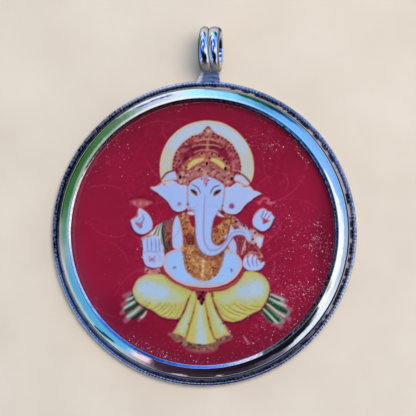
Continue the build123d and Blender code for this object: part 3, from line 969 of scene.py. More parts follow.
pleated([(-8.6, -7.7, -9.9, -8.35, 0.7), (-8.8, -8.3, -10.1, -9.5, 0.7), (-8.6, -9.0, -10.2, -10.6, 0.7),
         (-8.2, -9.8, -9.7, -11.6, 0.8), (-7.2, -10.1, -7.9, -11.4, 0.6)], "#A4748A", 0.7, 0.22)
pleated([(9.1, -7.5, 11.1, -8.3, 0.6), (9.4, -8.2, 11.7, -9.5, 0.7), (9.2, -9.0, 11.6, -10.7, 0.7),
         (8.8, -9.8, 10.5, -11.7, 0.8)], "#A67E96", 0.7, 0.22)
pleated([(-8.4, -7.8, -9.5, -8.9, 0.7), (-8.1, -8.6, -9.8, -10.1, 0.8), (-7.5, -9.4, -9.4, -11.1, 0.8),
         (8.6, -7.7, 10.7, -8.6, 0.7), (8.4, -8.4, 11.3, -9.9, 0.9), (8.2, -9.2, 10.7, -11.0, 0.9),
         (8.1, -9.8, 9.6, -11.2, 0.7)], "#86A194", 0.85, 0.18)
pleated([(-8.6, -7.9, -9.2, -8.5, 0.3), (-8.5, -8.6, -9.5, -9.1, 0.26), (-8.05, -9.15, -9.7, -10.3, 0.52),
         (-7.15, -9.95, -8.75, -11.3, 0.52), (8.6, -7.65, 10.2, -8.3, 0.46), (8.5, -8.35, 11.1, -9.75, 0.6),
         (8.2, -9.1, 10.2, -10.85, 0.6), (8.05, -9.7, 9.4, -11.1, 0.5)], "#123C30", 0.9, 0.15)
pleated([(-7.75, -9.5, -9.2, -10.85, 0.24), (-8.5, -9.0, -9.4, -9.6, 0.2), (8.75, -8.15, 10.9, -9.1, 0.2),
         (8.7, -9.3, 10.6, -10.75, 0.2)], "#3F8C6C", 0.7, 0.12)
pleated([(-8.55, -8.2, -9.5, -8.9, 0.26), (-8.3, -8.8, -9.9, -9.9, 0.26), (-7.85, -9.7, -9.4, -11.05, 0.28),
         (-7.0, -10.25, -7.7, -11.1, 0.3), (8.9, -8.0, 11.1, -9.05, 0.3), (8.55, -8.75, 11.0, -10.4, 0.3),
         (8.2, -9.4, 10.1, -11.2, 0.3), (9.1, -7.55, 10.8, -8.2, 0.26)], "#C6D4CC", 0.85, 0.12)
stroke([(8.55, -8.8, 0.16), (9.4, -9.3, 0.2)], "#C3C67C", 0.8, soft=0.1)
stroke([(8.15, -9.4, 0.14), (8.7, -9.9, 0.18)], "#BFC480", 0.7, soft=0.1)
blot(5.5, -12.7, 0.6, 0.55, "#4C1222", 0.8)
stroke([(5.75, -13.05, 0.16), (6.1, -13.6, 0.3), (6.5, -14.1, 0.12)], "#C2808C", 0.8, soft=0.1)
drawn("sash ends")

# %% [markdown]
# Two of the four hands are raised and carry small faint things: a lotus on the left, a curled stroke on the right. A
# hand is one outline, with fingers and palm drawn inside it and a dark line under it.

# %% Lotus
SKIN = "#A2C4FF"
stroke([(-9.9, 3.95, 0.2), (-9.2, 4.5, 0.3), (-8.2, 4.65, 0.36), (-7.2, 4.5, 0.3), (-6.5, 4.1, 0.2)], "#5E0E28", 0.5,
       soft=0.25)
lotus = fill([(-9.75, 4.0), (-9.1, 4.25), (-8.2, 4.35), (-7.3, 4.25), (-6.6, 4.0), (-6.75, 3.75), (-7.4, 3.45),
              (-7.9, 3.15), (-8.25, 2.95), (-8.6, 3.15), (-9.1, 3.5)], "#B05A6A", rim="#9A4254", reach=0.3,
             soft=0.16)
for petal in (-9.0, -8.2, -7.4):
    blot(petal, 3.75, 0.4, 0.9, "#CC8C90", 0.8, inside=lotus)
mottle(lotus, 0.28, "#8E3048", 0.5, 0.25, seed=22)
drawn("lotus")

# %% Upper left hand
upper_left = fill([(-9.45, 1.42), (-9.1, 1.72), (-8.55, 2.1), (-8.5, 2.6), (-8.42, 3.05), (-8.15, 3.15),
                   (-7.6, 2.85), (-7.05, 2.3), (-6.7, 1.7), (-6.55, 1.0), (-6.7, 0.4), (-7.2, 0.0), (-7.8, -0.25),
                   (-8.4, -0.15), (-8.9, 0.15), (-9.3, 0.8)], SKIN, rim="#C2BAD2", reach=0.26, soft=0.09)
stroke([(-8.35, 3.0, 0.3), (-8.3, 2.5, 0.34), (-8.2, 2.1, 0.2)], "#C8C4D8", 0.8, soft=0.12, inside=upper_left)
stroke([(-8.7, 1.15, 0.3), (-8.3, 0.95, 0.5), (-8.05, 0.7, 0.36), (-8.0, 1.2, 0.26)], "#A0586C", 0.85, soft=0.12,
       inside=upper_left)
stroke([(-7.95, 1.25, 0.2), (-7.75, 1.7, 0.22), (-7.85, 2.3, 0.12)], "#8E6C9C", 0.75, soft=0.1, inside=upper_left)
stroke([(-8.95, 1.5, 0.12), (-8.4, 1.55, 0.18), (-8.1, 1.9, 0.12)], "#9A86B4", 0.6, soft=0.12, inside=upper_left)
stroke([(-9.45, 1.2, 0.16), (-9.15, 0.35, 0.22), (-8.55, -0.2, 0.24), (-7.7, -0.36, 0.2), (-7.1, -0.1, 0.1)],
       "#3A1438", 0.75, soft=0.1)
stroke([(-9.45, 1.5, 0.08), (-8.9, 1.95, 0.1), (-8.6, 2.3, 0.1), (-8.55, 3.0, 0.1)], "#DCCCC2", 0.7, soft=0.08)
drawn("upper left hand")

# %% Upper right hand
upper_right = fill([(6.5, 1.6), (6.6, 2.3), (7.0, 3.0), (7.5, 3.45), (7.95, 3.5), (8.4, 3.25), (8.8, 3.15),
                    (9.1, 2.7), (9.3, 2.45), (9.2, 2.0), (8.95, 1.4), (8.5, 0.9), (8.0, 0.6), (7.5, 0.65),
                    (6.95, 0.95), (6.65, 1.25)], SKIN, rim="#C0C0DA", reach=0.26, soft=0.09)
fill([(7.55, 2.55), (7.9, 2.3), (8.35, 2.15), (8.7, 2.05), (8.4, 1.75), (8.05, 1.55), (7.8, 1.6), (7.75, 2.0)],
     "#A03A50", rim="#A8687C", reach=0.2, soft=0.1)
for finger in ([(7.6, 2.5, 0.2), (7.85, 3.0, 0.22), (7.95, 3.3, 0.1)],
               [(8.0, 2.45, 0.16), (8.25, 2.85, 0.18), (8.45, 3.15, 0.1)],
               [(8.4, 2.3, 0.16), (8.65, 2.6, 0.18), (8.85, 2.9, 0.1)]):
    stroke(finger, "#8A5C94", 0.8, soft=0.1, inside=upper_right)
    stroke([(px + 0.16, py - 0.02, w * 0.9) for px, py, w in finger], "#D4D4EA", 0.7, soft=0.08, inside=upper_right)
stroke([(6.75, 1.0, 0.1), (7.5, 0.52, 0.2), (8.1, 0.5, 0.22), (8.7, 0.95, 0.22), (9.1, 1.6, 0.18), (9.3, 2.2, 0.1)],
       "#341036", 0.75, soft=0.1)
stroke([(6.5, 1.9, 0.08), (6.75, 2.8, 0.1), (7.5, 3.52, 0.1), (8.2, 3.45, 0.08)], "#D8C8C4", 0.7, soft=0.08)
for swirl in ([(7.3, 4.3, 0.2), (7.8, 4.85, 0.3), (8.4, 4.8, 0.34), (8.55, 4.35, 0.4), (9.3, 4.35, 0.22)],
              [(7.2, 4.3, 0.3), (7.35, 4.1, 0.2)], [(8.3, 4.3, 0.3), (8.8, 4.15, 0.24)]):
    stroke(swirl, "#C4647C", 0.85, soft=0.16)
drawn("upper right hand")

# %% [markdown]
# A striped stole falls over the left shoulder, and below it an open palm faces the viewer. The stripes leave one
# point on the shoulder, as the folds of a stole do.

# %% Left shoulder and stole
fill([(-6.9, 0.25), (-6.2, 0.35), (-5.4, 1.2), (-5.0, 1.55), (-4.9, 0.5), (-4.95, -0.8), (-4.8, -2.2), (-5.4, -2.8),
      (-6.6, -1.2)], "#A8B6D2", rim="#7C5068", reach=0.3, soft=0.12)
cuff = fill([(-8.05, -0.75), (-7.5, -0.35), (-6.8, 0.05), (-6.2, 0.5), (-5.95, 0.2), (-6.5, -0.25), (-7.2, -0.65),
             (-7.8, -1.05)], "#B49CA4", rim="#94606A", reach=0.2, soft=0.12)
mottle(cuff, 0.3, "#D2C4C0", 0.6, 0.4, seed=23)
stole = fill([(-5.0, 1.4), (-4.3, 1.95), (-3.7, 2.3), (-3.65, 1.0), (-3.8, 0.0), (-3.8, -1.0), (-3.9, -2.0),
              (-4.4, -2.5), (-4.85, -2.0), (-5.0, -0.8), (-5.05, 0.5)], "#8C5056", rim="#6A2C38", reach=0.32,
             soft=0.1)
mottle(stole, 0.3, "#A87470", 0.6, 0.35, seed=24)
blot(-4.3, -1.4, 1.0, 2.2, "#3E2024", 0.8, inside=stole)
mottle(stole, 0.28, "#4A1E28", 0.6, 0.26, seed=25)
fan = (-5.2, 1.35)
for tip_x, tip_y, wide, tone in ((-6.6, -0.1, 0.24, "#D6DADC"), (-6.35, -0.3, 0.2, "#4E6A5C"),
                                 (-6.1, -0.45, 0.2, "#C8D4D0"), (-5.85, -0.75, 0.22, "#35564A"),
                                 (-5.6, -1.1, 0.26, "#DCE2E4"), (-5.3, -1.5, 0.24, "#7A9488")):
    stroke([(fan[0], fan[1], 0.08), ((fan[0] + tip_x) / 2 - 0.12, (fan[1] + tip_y) / 2 + 0.1, wide),
            (tip_x, tip_y, wide)], tone, 0.85, soft=0.09)
stroke([(-5.15, 1.4, 0.14), (-5.22, 0.3, 0.3), (-5.08, -0.6, 0.34), (-4.82, -1.6, 0.34), (-4.4, -2.4, 0.2)],
       "#22301F", 0.92, soft=0.1)
stroke([(-5.0, 0.6, 0.1), (-4.9, -0.8, 0.12), (-4.6, -1.9, 0.1)], "#6F8A5E", 0.6, soft=0.08)
drawn("stole")

# %% Open palm
palm = fill([(-7.9, -1.0), (-7.3, -0.66), (-6.6, -0.4), (-6.0, -0.25), (-5.55, -0.7), (-5.3, -1.5), (-5.05, -2.2),
             (-4.85, -3.0), (-5.05, -4.2), (-5.6, -4.5), (-6.4, -4.6), (-7.2, -4.3), (-7.6, -3.7), (-7.75, -3.0),
             (-7.7, -2.2), (-7.85, -1.4)], "#A8C2F8", rim="#C4BCD2", reach=0.26, soft=0.09)
for px in (-7.2, -6.68, -6.12, -5.66):
    stroke([(px, -0.75, 0.08), (px + 0.05, -1.5, 0.17), (px + 0.1, -2.4, 0.08)], "#6C7CC0", 0.8, soft=0.09,
           inside=palm)
stroke([(-7.65, -2.6, 0.12), (-6.8, -2.42, 0.2), (-5.9, -2.5, 0.2), (-5.3, -2.3, 0.1)], "#9C92CC", 0.7, soft=0.12,
       inside=palm)
stroke([(-5.75, -2.6, 0.1), (-5.5, -3.2, 0.18), (-5.6, -3.9, 0.1)], "#A9A2D0", 0.6, soft=0.12, inside=palm)
for mark in ([(-6.85, -3.1, 0.16), (-6.2, -3.75, 0.22)], [(-6.1, -3.05, 0.12), (-6.75, -3.7, 0.2)],
             [(-6.9, -3.45, 0.12), (-6.1, -3.4, 0.14)]):
    stroke(mark, "#A06C94", 0.75, soft=0.12, inside=palm)
blot(-5.65, -4.0, 0.9, 0.8, "#B8D0FF", 0.6, inside=palm)
wrist = fill([(-7.4, -4.4), (-6.4, -4.7), (-5.5, -4.55), (-5.15, -4.85), (-5.4, -5.4), (-6.4, -5.55), (-7.3, -5.2)],
             "#B08488", rim="#8A3C4E", reach=0.25, soft=0.14, cover=0.9)
mottle(wrist, 0.28, "#D2B8B4", 0.65, 0.4, seed=26)
dots([(-5.2, -4.8), (-5.5, -5.25), (-7.0, -5.0)], 0.42, "#5E1420", 0.75)
stroke([(-7.9, -1.1, 0.14), (-7.8, -2.3, 0.16), (-7.82, -3.1, 0.16), (-7.35, -4.3, 0.18), (-6.3, -4.7, 0.16)],
       "#4A1C40", 0.65, soft=0.1)
drawn("open palm")

# %% [markdown]
# The lower hand at the right holds a bowl of sweets, and the sleeve over it is sewn with dark beads. The sleeve and
# the sweets are mottled, because the print shows them as grains only.

# %% Right sleeve
shoulder = fill([(3.2, 2.9), (4.0, 2.55), (4.7, 2.0), (5.4, 1.5), (5.9, 1.0), (5.3, 0.8), (4.4, 0.9), (3.7, 1.4),
                 (3.3, 2.2)], "#9E5E6C", rim="#7A2840", reach=0.3, soft=0.14)
mottle(shoulder, 0.28, "#C89CA0", 0.75, 0.36, seed=40)
forearm = fill([(4.4, 1.5), (5.2, 1.35), (5.9, 0.95), (6.6, 0.9), (7.3, 0.35), (8.0, -0.05), (7.95, -0.6),
                (7.75, -1.3), (7.6, -1.75), (7.0, -1.5), (6.4, -1.2), (5.9, -0.8), (5.6, 0.1), (4.9, 0.8)],
               "#B89CA8", rim="#94606C", reach=0.25, soft=0.1)
mottle(forearm, 0.3, "#C8BCC8", 0.7, 0.4, seed=27)
mottle(forearm, 0.26, "#A0606C", 0.6, 0.26, seed=28)
fill([(7.1, -0.25), (7.6, -0.2), (7.92, -0.3), (7.85, -0.8), (7.62, -1.55), (7.3, -1.35), (7.05, -0.9)], "#B8CCF4",
     rim="#C8CCD8", reach=0.2, soft=0.12)
stroke([(7.1, 0.1, 0.14), (7.6, 0.0, 0.18), (8.0, -0.1, 0.14)], "#C49C78", 0.8, soft=0.1)
dots([(6.85, 0.35), (6.55, -0.5), (7.0, -1.1), (5.35, 1.2), (4.4, 1.75), (6.0, 0.85)], 0.42, "#461430", 0.9)
blot(6.55, -0.5, 0.4, 0.66, "#3A1230", 0.8)
drawn("right sleeve")

# %% Bowl of sweets
bowl = fill([(5.35, -1.3), (6.0, -1.05), (6.6, -1.15), (7.3, -1.4), (7.9, -2.2), (8.1, -3.2), (7.7, -3.75),
             (6.6, -3.4), (5.6, -3.2), (5.35, -2.2)], "#A86468", rim="#7E2438", reach=0.3, soft=0.12)
mottle(bowl, 0.34, "#C89A90", 0.75, 0.36, seed=29)
mottle(bowl, 0.3, "#7A2236", 0.8, 0.34, seed=30)
dots([(5.9, -1.55), (6.5, -1.35), (7.05, -1.85), (7.5, -2.5), (7.85, -3.0)], 0.5, "#74202F", 0.7)
drawn("bowl of sweets")

# %% Lower hand
hand = fill([(5.45, -3.1), (5.75, -2.7), (6.05, -2.95), (6.25, -2.5), (6.55, -2.45), (6.75, -2.8), (7.05, -2.5),
             (7.25, -2.95), (7.5, -3.2), (7.75, -3.5), (8.15, -3.3), (8.2, -3.7), (7.9, -4.2), (7.3, -4.5),
             (6.5, -4.65), (5.9, -4.5), (5.5, -4.1), (5.35, -3.6)], "#AAC4FA", rim="#B8B4D0", reach=0.2, soft=0.08)
for line in ([(5.95, -2.95, 0.1), (6.0, -3.5, 0.18), (6.3, -4.1, 0.08)],
             [(6.6, -2.8, 0.1), (6.6, -3.4, 0.18), (6.85, -4.0, 0.08)],
             [(7.15, -2.9, 0.1), (7.15, -3.4, 0.16), (7.3, -3.95, 0.08)]):
    stroke(line, "#7C6498", 0.8, soft=0.09, inside=hand)
blot(5.75, -3.2, 0.36, 0.7, "#DCE2FA", 0.75, inside=hand)
blot(6.35, -3.0, 0.32, 0.7, "#DCE2FA", 0.7, inside=hand)
blot(6.95, -3.05, 0.3, 0.6, "#D8DEF8", 0.65, inside=hand)
stroke([(5.4, -4.1, 0.12), (6.1, -4.66, 0.2), (7.0, -4.72, 0.22), (7.8, -4.4, 0.18), (8.2, -3.8, 0.1)], "#42163C",
       0.7, soft=0.1)
drawn("lower hand")

# %% [markdown]
# Each ear is a broad leaf that comes to a point at the side, with a pale upper edge, a dark lower one, and a bud
# painted on its lobe.

# %% Ears
left_ear = fill([(-6.95, 5.95), (-6.3, 6.05), (-5.75, 6.3), (-5.5, 6.55), (-5.1, 6.2), (-4.6, 6.6), (-3.9, 6.8),
                 (-3.1, 6.4), (-2.2, 6.2), (-1.9, 4.5), (-2.15, 3.4), (-2.6, 3.0), (-3.2, 2.82), (-3.8, 3.0),
                 (-4.2, 3.3), (-4.5, 3.8), (-4.72, 4.1), (-5.05, 4.3), (-5.3, 4.62), (-5.8, 5.0), (-6.1, 5.3),
                 (-6.5, 5.45), (-6.9, 5.7)], "#A0C2FC", rim="#C0BEDC", reach=0.35, soft=0.07)
right_ear = fill([(7.5, 5.5), (6.95, 5.75), (6.5, 5.82), (6.0, 6.3), (5.3, 6.25), (4.8, 6.6), (4.2, 6.78),
                  (3.5, 6.3), (2.8, 6.1), (2.4, 4.5), (2.55, 3.4), (2.75, 3.05), (3.1, 2.8), (3.6, 2.68),
                  (4.2, 2.72), (4.65, 2.9), (5.0, 3.2), (5.2, 3.5), (5.4, 3.8), (5.8, 4.1), (6.2, 4.45), (6.6, 4.9),
                  (7.0, 5.08), (7.4, 5.32)], "#A4C4FA", rim="#C4C0DA", reach=0.35, soft=0.07)
fill([(-3.9, 8.05), (-4.6, 7.92), (-5.05, 7.4), (-5.2, 6.95), (-4.7, 6.8), (-4.1, 7.0), (-3.5, 7.0), (-3.6, 7.6)],
     "#A9C1F0", rim="#B9B4CC", reach=0.3, soft=0.08)
fill([(4.25, 7.85), (4.9, 7.62), (5.4, 7.2), (5.85, 6.75), (5.7, 6.4), (5.2, 6.6), (4.7, 6.9), (4.1, 7.0),
      (3.9, 7.4)], "#B2C5EE", rim="#C0B8CC", reach=0.3, soft=0.08)
stroke([(-5.55, 7.05, 0.2), (-5.0, 7.75, 0.22), (-4.1, 8.22, 0.2)], "#5E1E30", 0.8, soft=0.1)
stroke([(4.3, 8.2, 0.2), (5.2, 7.75, 0.22), (5.9, 7.05, 0.22), (6.25, 6.45, 0.14)], "#5E1E30", 0.8, soft=0.1)
stroke([(-5.3, 6.75, 0.1), (-4.6, 6.85, 0.16), (-3.8, 6.98, 0.1)], "#9C86AE", 0.6, soft=0.08)
stroke([(5.9, 6.45, 0.1), (5.1, 6.6, 0.16), (4.3, 6.95, 0.1)], "#9C86AE", 0.6, soft=0.08)
drawn("ears")

# %% Ear lines
for outline in (
    [(-6.95, 5.75, 0.1), (-6.4, 5.32, 0.16), (-5.75, 4.9, 0.14), (-5.25, 4.5, 0.2), (-4.75, 4.05, 0.16),
     (-4.4, 3.5, 0.2), (-3.95, 2.98, 0.18), (-3.2, 2.72, 0.2), (-2.6, 2.88, 0.12)],
    [(7.5, 5.38, 0.1), (6.95, 4.98, 0.16), (6.3, 4.42, 0.16), (5.7, 3.95, 0.2), (5.25, 3.42, 0.2), (4.9, 2.98, 0.2),
     (4.3, 2.62, 0.2), (3.5, 2.58, 0.2), (2.85, 2.85, 0.12)],
):
    stroke(outline, "#321238", 0.75, soft=0.09)
for top_edge in (
    [(-6.95, 5.98, 0.08), (-6.2, 6.1, 0.12), (-5.5, 6.58, 0.12), (-5.1, 6.25, 0.1), (-4.6, 6.62, 0.12),
     (-3.9, 6.82, 0.1)],
    [(7.5, 5.52, 0.08), (6.5, 5.86, 0.12), (6.0, 6.34, 0.12), (5.3, 6.28, 0.1), (4.7, 6.66, 0.12), (4.1, 6.8, 0.1)],
    [(-2.35, 6.1, 0.1), (-2.32, 5.0, 0.12), (-2.2, 3.9, 0.1)], [(2.9, 6.0, 0.1), (2.86, 5.0, 0.12), (2.7, 3.9, 0.1)],
):
    stroke(top_edge, "#D8CAB8", 0.75, soft=0.09)
blot(-3.15, 3.85, 1.0, 0.95, "#A8708E", 0.85, inside=left_ear)
blot(-3.1, 3.9, 0.5, 0.45, "#96607E", 0.8, inside=left_ear)
blot(3.7, 3.75, 1.05, 1.0, "#963C70", 0.9, edge=0.7, inside=right_ear)
blot(3.85, 3.6, 0.5, 0.45, "#7A2450", 0.8, inside=right_ear)
stroke([(-4.9, 5.6, 0.3), (-4.3, 4.4, 0.5), (-3.6, 3.2, 0.3)], "#A9B9EE", 0.5, soft=0.35, inside=left_ear)
stroke([(5.6, 5.4, 0.3), (4.9, 4.4, 0.5), (4.2, 3.2, 0.3)], "#AFBCEE", 0.5, soft=0.35, inside=right_ear)
drawn("ear lines")

# %% [markdown]
# Between the arms lies bare skin under a broad strap. The strap's stones are mottled patches, because the print shows
# them as grains only.

# %% Chest
chest = fill([(-3.1, 2.5), (-1.6, 2.9), (0.2, 2.9), (2.2, 2.9), (3.9, 2.5), (4.2, 1.4), (4.0, 0.0), (3.6, -2.2),
              (0.2, -3.2), (-2.9, -2.2), (-3.6, 0.0), (-3.6, 1.6)], "#A46848", rim="#8A4448", reach=0.4, soft=0.15)
mottle(chest, 0.32, "#C89464", 0.75, 0.4, seed=31)
mottle(chest, 0.26, "#D6B47E", 0.55, 0.2, seed=32)
mottle(chest, 0.28, "#74303A", 0.7, 0.28, seed=33)
blot(-2.6, 1.9, 1.3, 1.3, "#9A4E4A", 0.6, inside=chest)
blot(-1.75, -0.9, 1.9, 2.8, "#6A2430", 0.9, edge=0.7, inside=chest)
mottle(chest * (spot[:, 1] < 0.4) * (spot[:, 0] < 0), 0.26, "#9A5648", 0.5, 0.3, seed=34)
mottle(chest, 0.24, "#DCC4A4", 0.55, 0.15, seed=50)
mottle(chest, 0.26, "#5A2420", 0.65, 0.17, seed=51)
fill([(-1.8, 2.5), (-1.0, 2.5), (-0.95, 1.1), (-1.3, 0.9), (-1.65, 1.5)], "#8A1C3C", soft=0.12)
fill([(1.5, 2.35), (2.1, 2.4), (2.55, 2.0), (2.3, 1.45), (1.8, 1.1), (1.35, 0.95), (1.35, 1.7)], "#8C1C3E",
     soft=0.12)
for px, py in ((-2.5, 0.6), (-2.6, 1.0), (2.2, -0.35), (1.8, -0.75), (2.75, 0.35), (4.3, 1.7), (-2.25, -0.3),
               (2.5, -0.9)):
    blot(px, py, 0.42, 0.5, "#3C1018", 0.85)
dots([(-2.85, 2.25), (-2.0, 1.5), (3.0, 2.1), (3.7, 1.5), (2.8, 1.35), (1.65, 0.5)], 0.38, "#6A2030", 0.75)
stroke([(3.5, 1.2, 0.14), (3.25, -0.1, 0.2), (2.7, -0.95, 0.2), (2.0, -1.35, 0.16)], "#5E1C2A", 0.8, soft=0.1)
stroke([(-2.35, -0.4, 0.16), (-2.0, -1.4, 0.24), (-1.4, -2.2, 0.16)], "#B27C5A", 0.6, soft=0.12)
stroke([(-1.25, -0.3, 0.3), (-1.15, -1.4, 0.4), (-0.8, -2.3, 0.3)], "#4E1620", 0.6, soft=0.18)
drawn("chest")

# %% Bare side and strap
bare_side = fill([(-3.4, 2.35), (-3.05, 1.7), (-2.8, 0.8), (-2.6, 0.0), (-2.5, -1.0), (-2.55, -1.9), (-3.1, -2.2),
                  (-3.75, -1.9), (-3.9, -1.0), (-3.95, 0.0), (-3.9, 0.8), (-3.75, 1.7)], "#A8C4FA", rim="#BEB6CC",
                 reach=0.24, soft=0.09)
stroke([(-3.7, -0.6, 0.1), (-3.2, 0.2, 0.14), (-2.75, 0.9, 0.1)], "#9AA0D4", 0.6, soft=0.1, inside=bare_side)
stroke([(3.35, -0.3, 0.9), (3.9, -1.2, 1.1), (4.2, -2.2, 0.8)], "#A9C3F8", 0.95, soft=0.14)
strap = fill([(4.45, -0.3), (4.9, -0.15), (5.4, -0.2), (5.32, -0.9), (5.12, -1.8), (4.95, -2.6), (4.45, -2.3),
              (4.65, -1.4)], "#7A3440", rim="#8A4850", reach=0.2, soft=0.1)
mottle(strap, 0.26, "#B47A6C", 0.7, 0.32, seed=35)
drawn("bare side and strap")

# %% [markdown]
# The belly is one round shape, palest at its lower edge, with a red belt under it and a row of small light knots.

# %% Belly
belly = fill([(-2.5, -1.9), (-3.4, -2.1), (-4.3, -2.45), (-4.8, -3.0), (-5.0, -3.6), (-4.9, -4.5), (-4.5, -5.2),
              (-3.8, -5.8), (-2.8, -6.4), (-1.5, -6.8), (0.2, -6.95), (1.7, -6.85), (3.2, -6.4), (4.2, -5.8),
              (4.9, -5.0), (5.3, -4.2), (5.3, -3.5), (5.0, -2.9), (4.5, -2.4), (3.8, -2.0), (3.0, -1.9),
              (0.2, -2.4)], "#99C5FF", rim="#BCB2C4", reach=0.6, soft=0.08)
stroke([(-4.85, -3.3, 0.1), (-4.85, -4.4, 0.12), (-4.3, -5.3, 0.12), (-3.2, -6.1, 0.12), (-1.6, -6.7, 0.12),
        (0.2, -6.85, 0.12), (1.8, -6.75, 0.12), (3.4, -6.2, 0.12), (4.7, -5.1, 0.12), (5.2, -4.0, 0.1)], "#D8C4C4",
       0.6, soft=0.14)
blot(-3.5, -4.45, 0.8, 0.66, "#86628C", 0.85, inside=belly)
blot(3.9, -4.6, 0.46, 0.95, "#5E4A84", 0.8, inside=belly, turn=20)
blot(3.75, -2.4, 0.6, 0.5, "#B49CAC", 0.6, inside=belly)
for crease in ([(-4.6, -3.1, 0.1), (-4.4, -4.4, 0.2), (-3.6, -5.4, 0.14)],
               [(4.9, -3.2, 0.1), (4.75, -4.3, 0.2), (3.9, -5.4, 0.14)]):
    stroke(crease, "#B6B8E6", 0.5, soft=0.2, inside=belly)
stroke([(-1.7, -6.35, 0.3), (0.2, -6.55, 0.4), (2.2, -6.3, 0.3)], "#B8B4C0", 0.7, soft=0.25, inside=belly)
drawn("belly")

# %% Belt
stroke([(-5.1, -4.75, 0.24), (-4.6, -5.5, 0.28), (-4.0, -5.98, 0.3), (-3.0, -6.5, 0.3), (-1.5, -7.0, 0.3),
        (0.2, -7.2, 0.34), (2.0, -7.1, 0.3), (3.5, -6.7, 0.3), (4.6, -6.0, 0.3), (5.3, -5.0, 0.3),
        (5.6, -4.3, 0.16)], "#904838", 0.8, soft=0.16)
line = curve([(-4.7, -5.6), (-3.2, -6.55), (-1.5, -7.0), (0.2, -7.2), (2.0, -7.1), (3.5, -6.7), (4.8, -5.8)],
             steps=5)
dots(line, 0.26, "#C49480", 0.6)
drawn("belt")

# %% [markdown]
# A long garland of small flowers hangs from the neck over the belly. It is drawn as one loop, mottled in ochre and
# brown, with a string of pale beads down its middle.

# %% Garland
loop = fill([(-2.55, -1.6), (-2.45, -3.0), (-2.3, -4.0), (-2.0, -4.8), (-1.3, -5.5), (-0.5, -5.95), (0.3, -6.15),
             (1.2, -5.92), (2.0, -5.3), (2.5, -4.5), (2.8, -3.5), (2.95, -2.5), (3.0, -1.6), (0.2, -1.5)], "#AC7C50",
            rim="#B09478", reach=0.28, soft=0.09)
mottle(loop, 0.26, "#D0A674", 0.75, 0.4, seed=36)
mottle(loop, 0.24, "#7C4638", 0.6, 0.26, seed=37)
mottle(loop, 0.5, "#96603E", 0.4, 0.35, seed=38)
mottle(loop, 0.24, "#E2CCAA", 0.6, 0.15, seed=48)
mottle(loop, 0.26, "#5E2A24", 0.65, 0.14, seed=49)
stroke([(-2.2, -2.4, 0.16), (-2.0, -3.8, 0.16), (-1.6, -4.75, 0.16), (-0.7, -5.45, 0.16), (0.3, -5.7, 0.16),
        (1.3, -5.4, 0.16), (2.05, -4.65, 0.16), (2.4, -3.6, 0.16), (2.6, -2.4, 0.16)], "#8A5038", 0.5, soft=0.1,
       inside=loop)
stroke([(0.2, -3.0, 0.26), (0.2, -4.3, 0.36), (0.22, -5.6, 0.28)], "#CDB894", 0.7, soft=0.12, inside=loop)
dots([(0.2, -3.5), (0.2, -4.15), (0.22, -4.8), (0.22, -5.3)], 0.34, "#E8DAB8", 0.85)
dots([(-1.75, -4.35), (-1.95, -3.75), (1.85, -4.4), (1.65, -4.75), (2.45, -2.65), (2.8, -2.35), (-1.55, -4.8),
      (-1.9, -4.6), (-1.6, -3.3), (1.5, -4.35)], 0.42, "#6A2420", 0.85)
blot(-2.15, -2.4, 0.7, 1.2, "#7A3A34", 0.6, inside=loop)
stroke([(-0.9, -2.2, 0.3), (0.4, -3.1, 0.34), (1.6, -3.2, 0.36), (2.8, -2.5, 0.3)], "#643030", 0.6, soft=0.2)
drawn("garland")

# %% [markdown]
# The face is a plain broad oval, and the trunk runs down from it, turns to the right and curls over at its tip. One
# outline follows the whole trunk, and a pink line down its middle gives its roundness.

# %% Face
face = fill([(-2.1, 6.2), (-1.3, 7.1), (0.3, 7.5), (1.7, 7.1), (2.7, 6.4), (2.75, 5.2), (2.7, 4.2), (2.4, 3.3),
             (1.9, 2.7), (-1.5, 2.7), (-2.0, 3.4), (-2.2, 4.4), (-2.25, 5.4)], "#9EC0FB", rim="#B8AECC", reach=0.35,
            soft=0.09)
blot(0.3, 6.9, 2.6, 1.2, "#AFC0EE", 0.6, inside=face)
stroke([(-2.15, 6.2, 0.14), (-2.18, 5.0, 0.2), (-1.95, 3.7, 0.2), (-1.5, 3.0, 0.14)], "#8D7FB0", 0.6, soft=0.12)
stroke([(2.75, 6.1, 0.14), (2.72, 5.0, 0.2), (2.5, 3.8, 0.2), (2.1, 3.1, 0.14)], "#8D7FB0", 0.6, soft=0.12)
stroke([(5.72, -0.2, 0.16), (5.55, -1.0, 0.24), (5.35, -1.8, 0.24), (5.2, -2.5, 0.18)], "#C4A4AA", 0.9, soft=0.1)
drawn("face")

# %% Trunk
trunk = fill([(-1.5, 3.3), (-1.1, 2.5), (-1.0, 1.0), (-0.9, 0.0), (-0.75, -1.0), (-0.45, -1.8), (0.05, -2.45),
              (0.7, -2.8), (1.4, -2.87), (2.1, -2.62), (2.7, -2.15), (3.15, -1.6), (3.5, -1.05), (3.85, -0.45),
              (4.2, -0.1), (4.6, 0.02), (5.2, 0.0), (5.55, -0.18), (5.75, -0.5), (5.95, -0.75), (6.25, -0.75),
              (6.4, -0.35), (6.25, 0.2), (6.0, 0.62), (5.78, 1.1), (5.6, 0.78), (5.2, 0.84), (4.55, 0.84),
              (4.1, 0.8), (3.78, 1.34), (3.55, 0.7), (3.35, 0.1), (3.0, -0.6), (2.6, -1.15), (2.0, -1.38),
              (1.45, -1.0), (1.25, -0.4), (1.25, 0.3), (1.3, 1.2), (1.45, 1.9), (1.75, 2.6), (2.2, 3.4), (0.3, 4.2)],
             "#A0C0FC", rim="#A7AFD0", reach=0.3, soft=0.07)
blot(0.3, 3.9, 4.4, 2.8, "#9EC0FB", 1.0, edge=0.9)
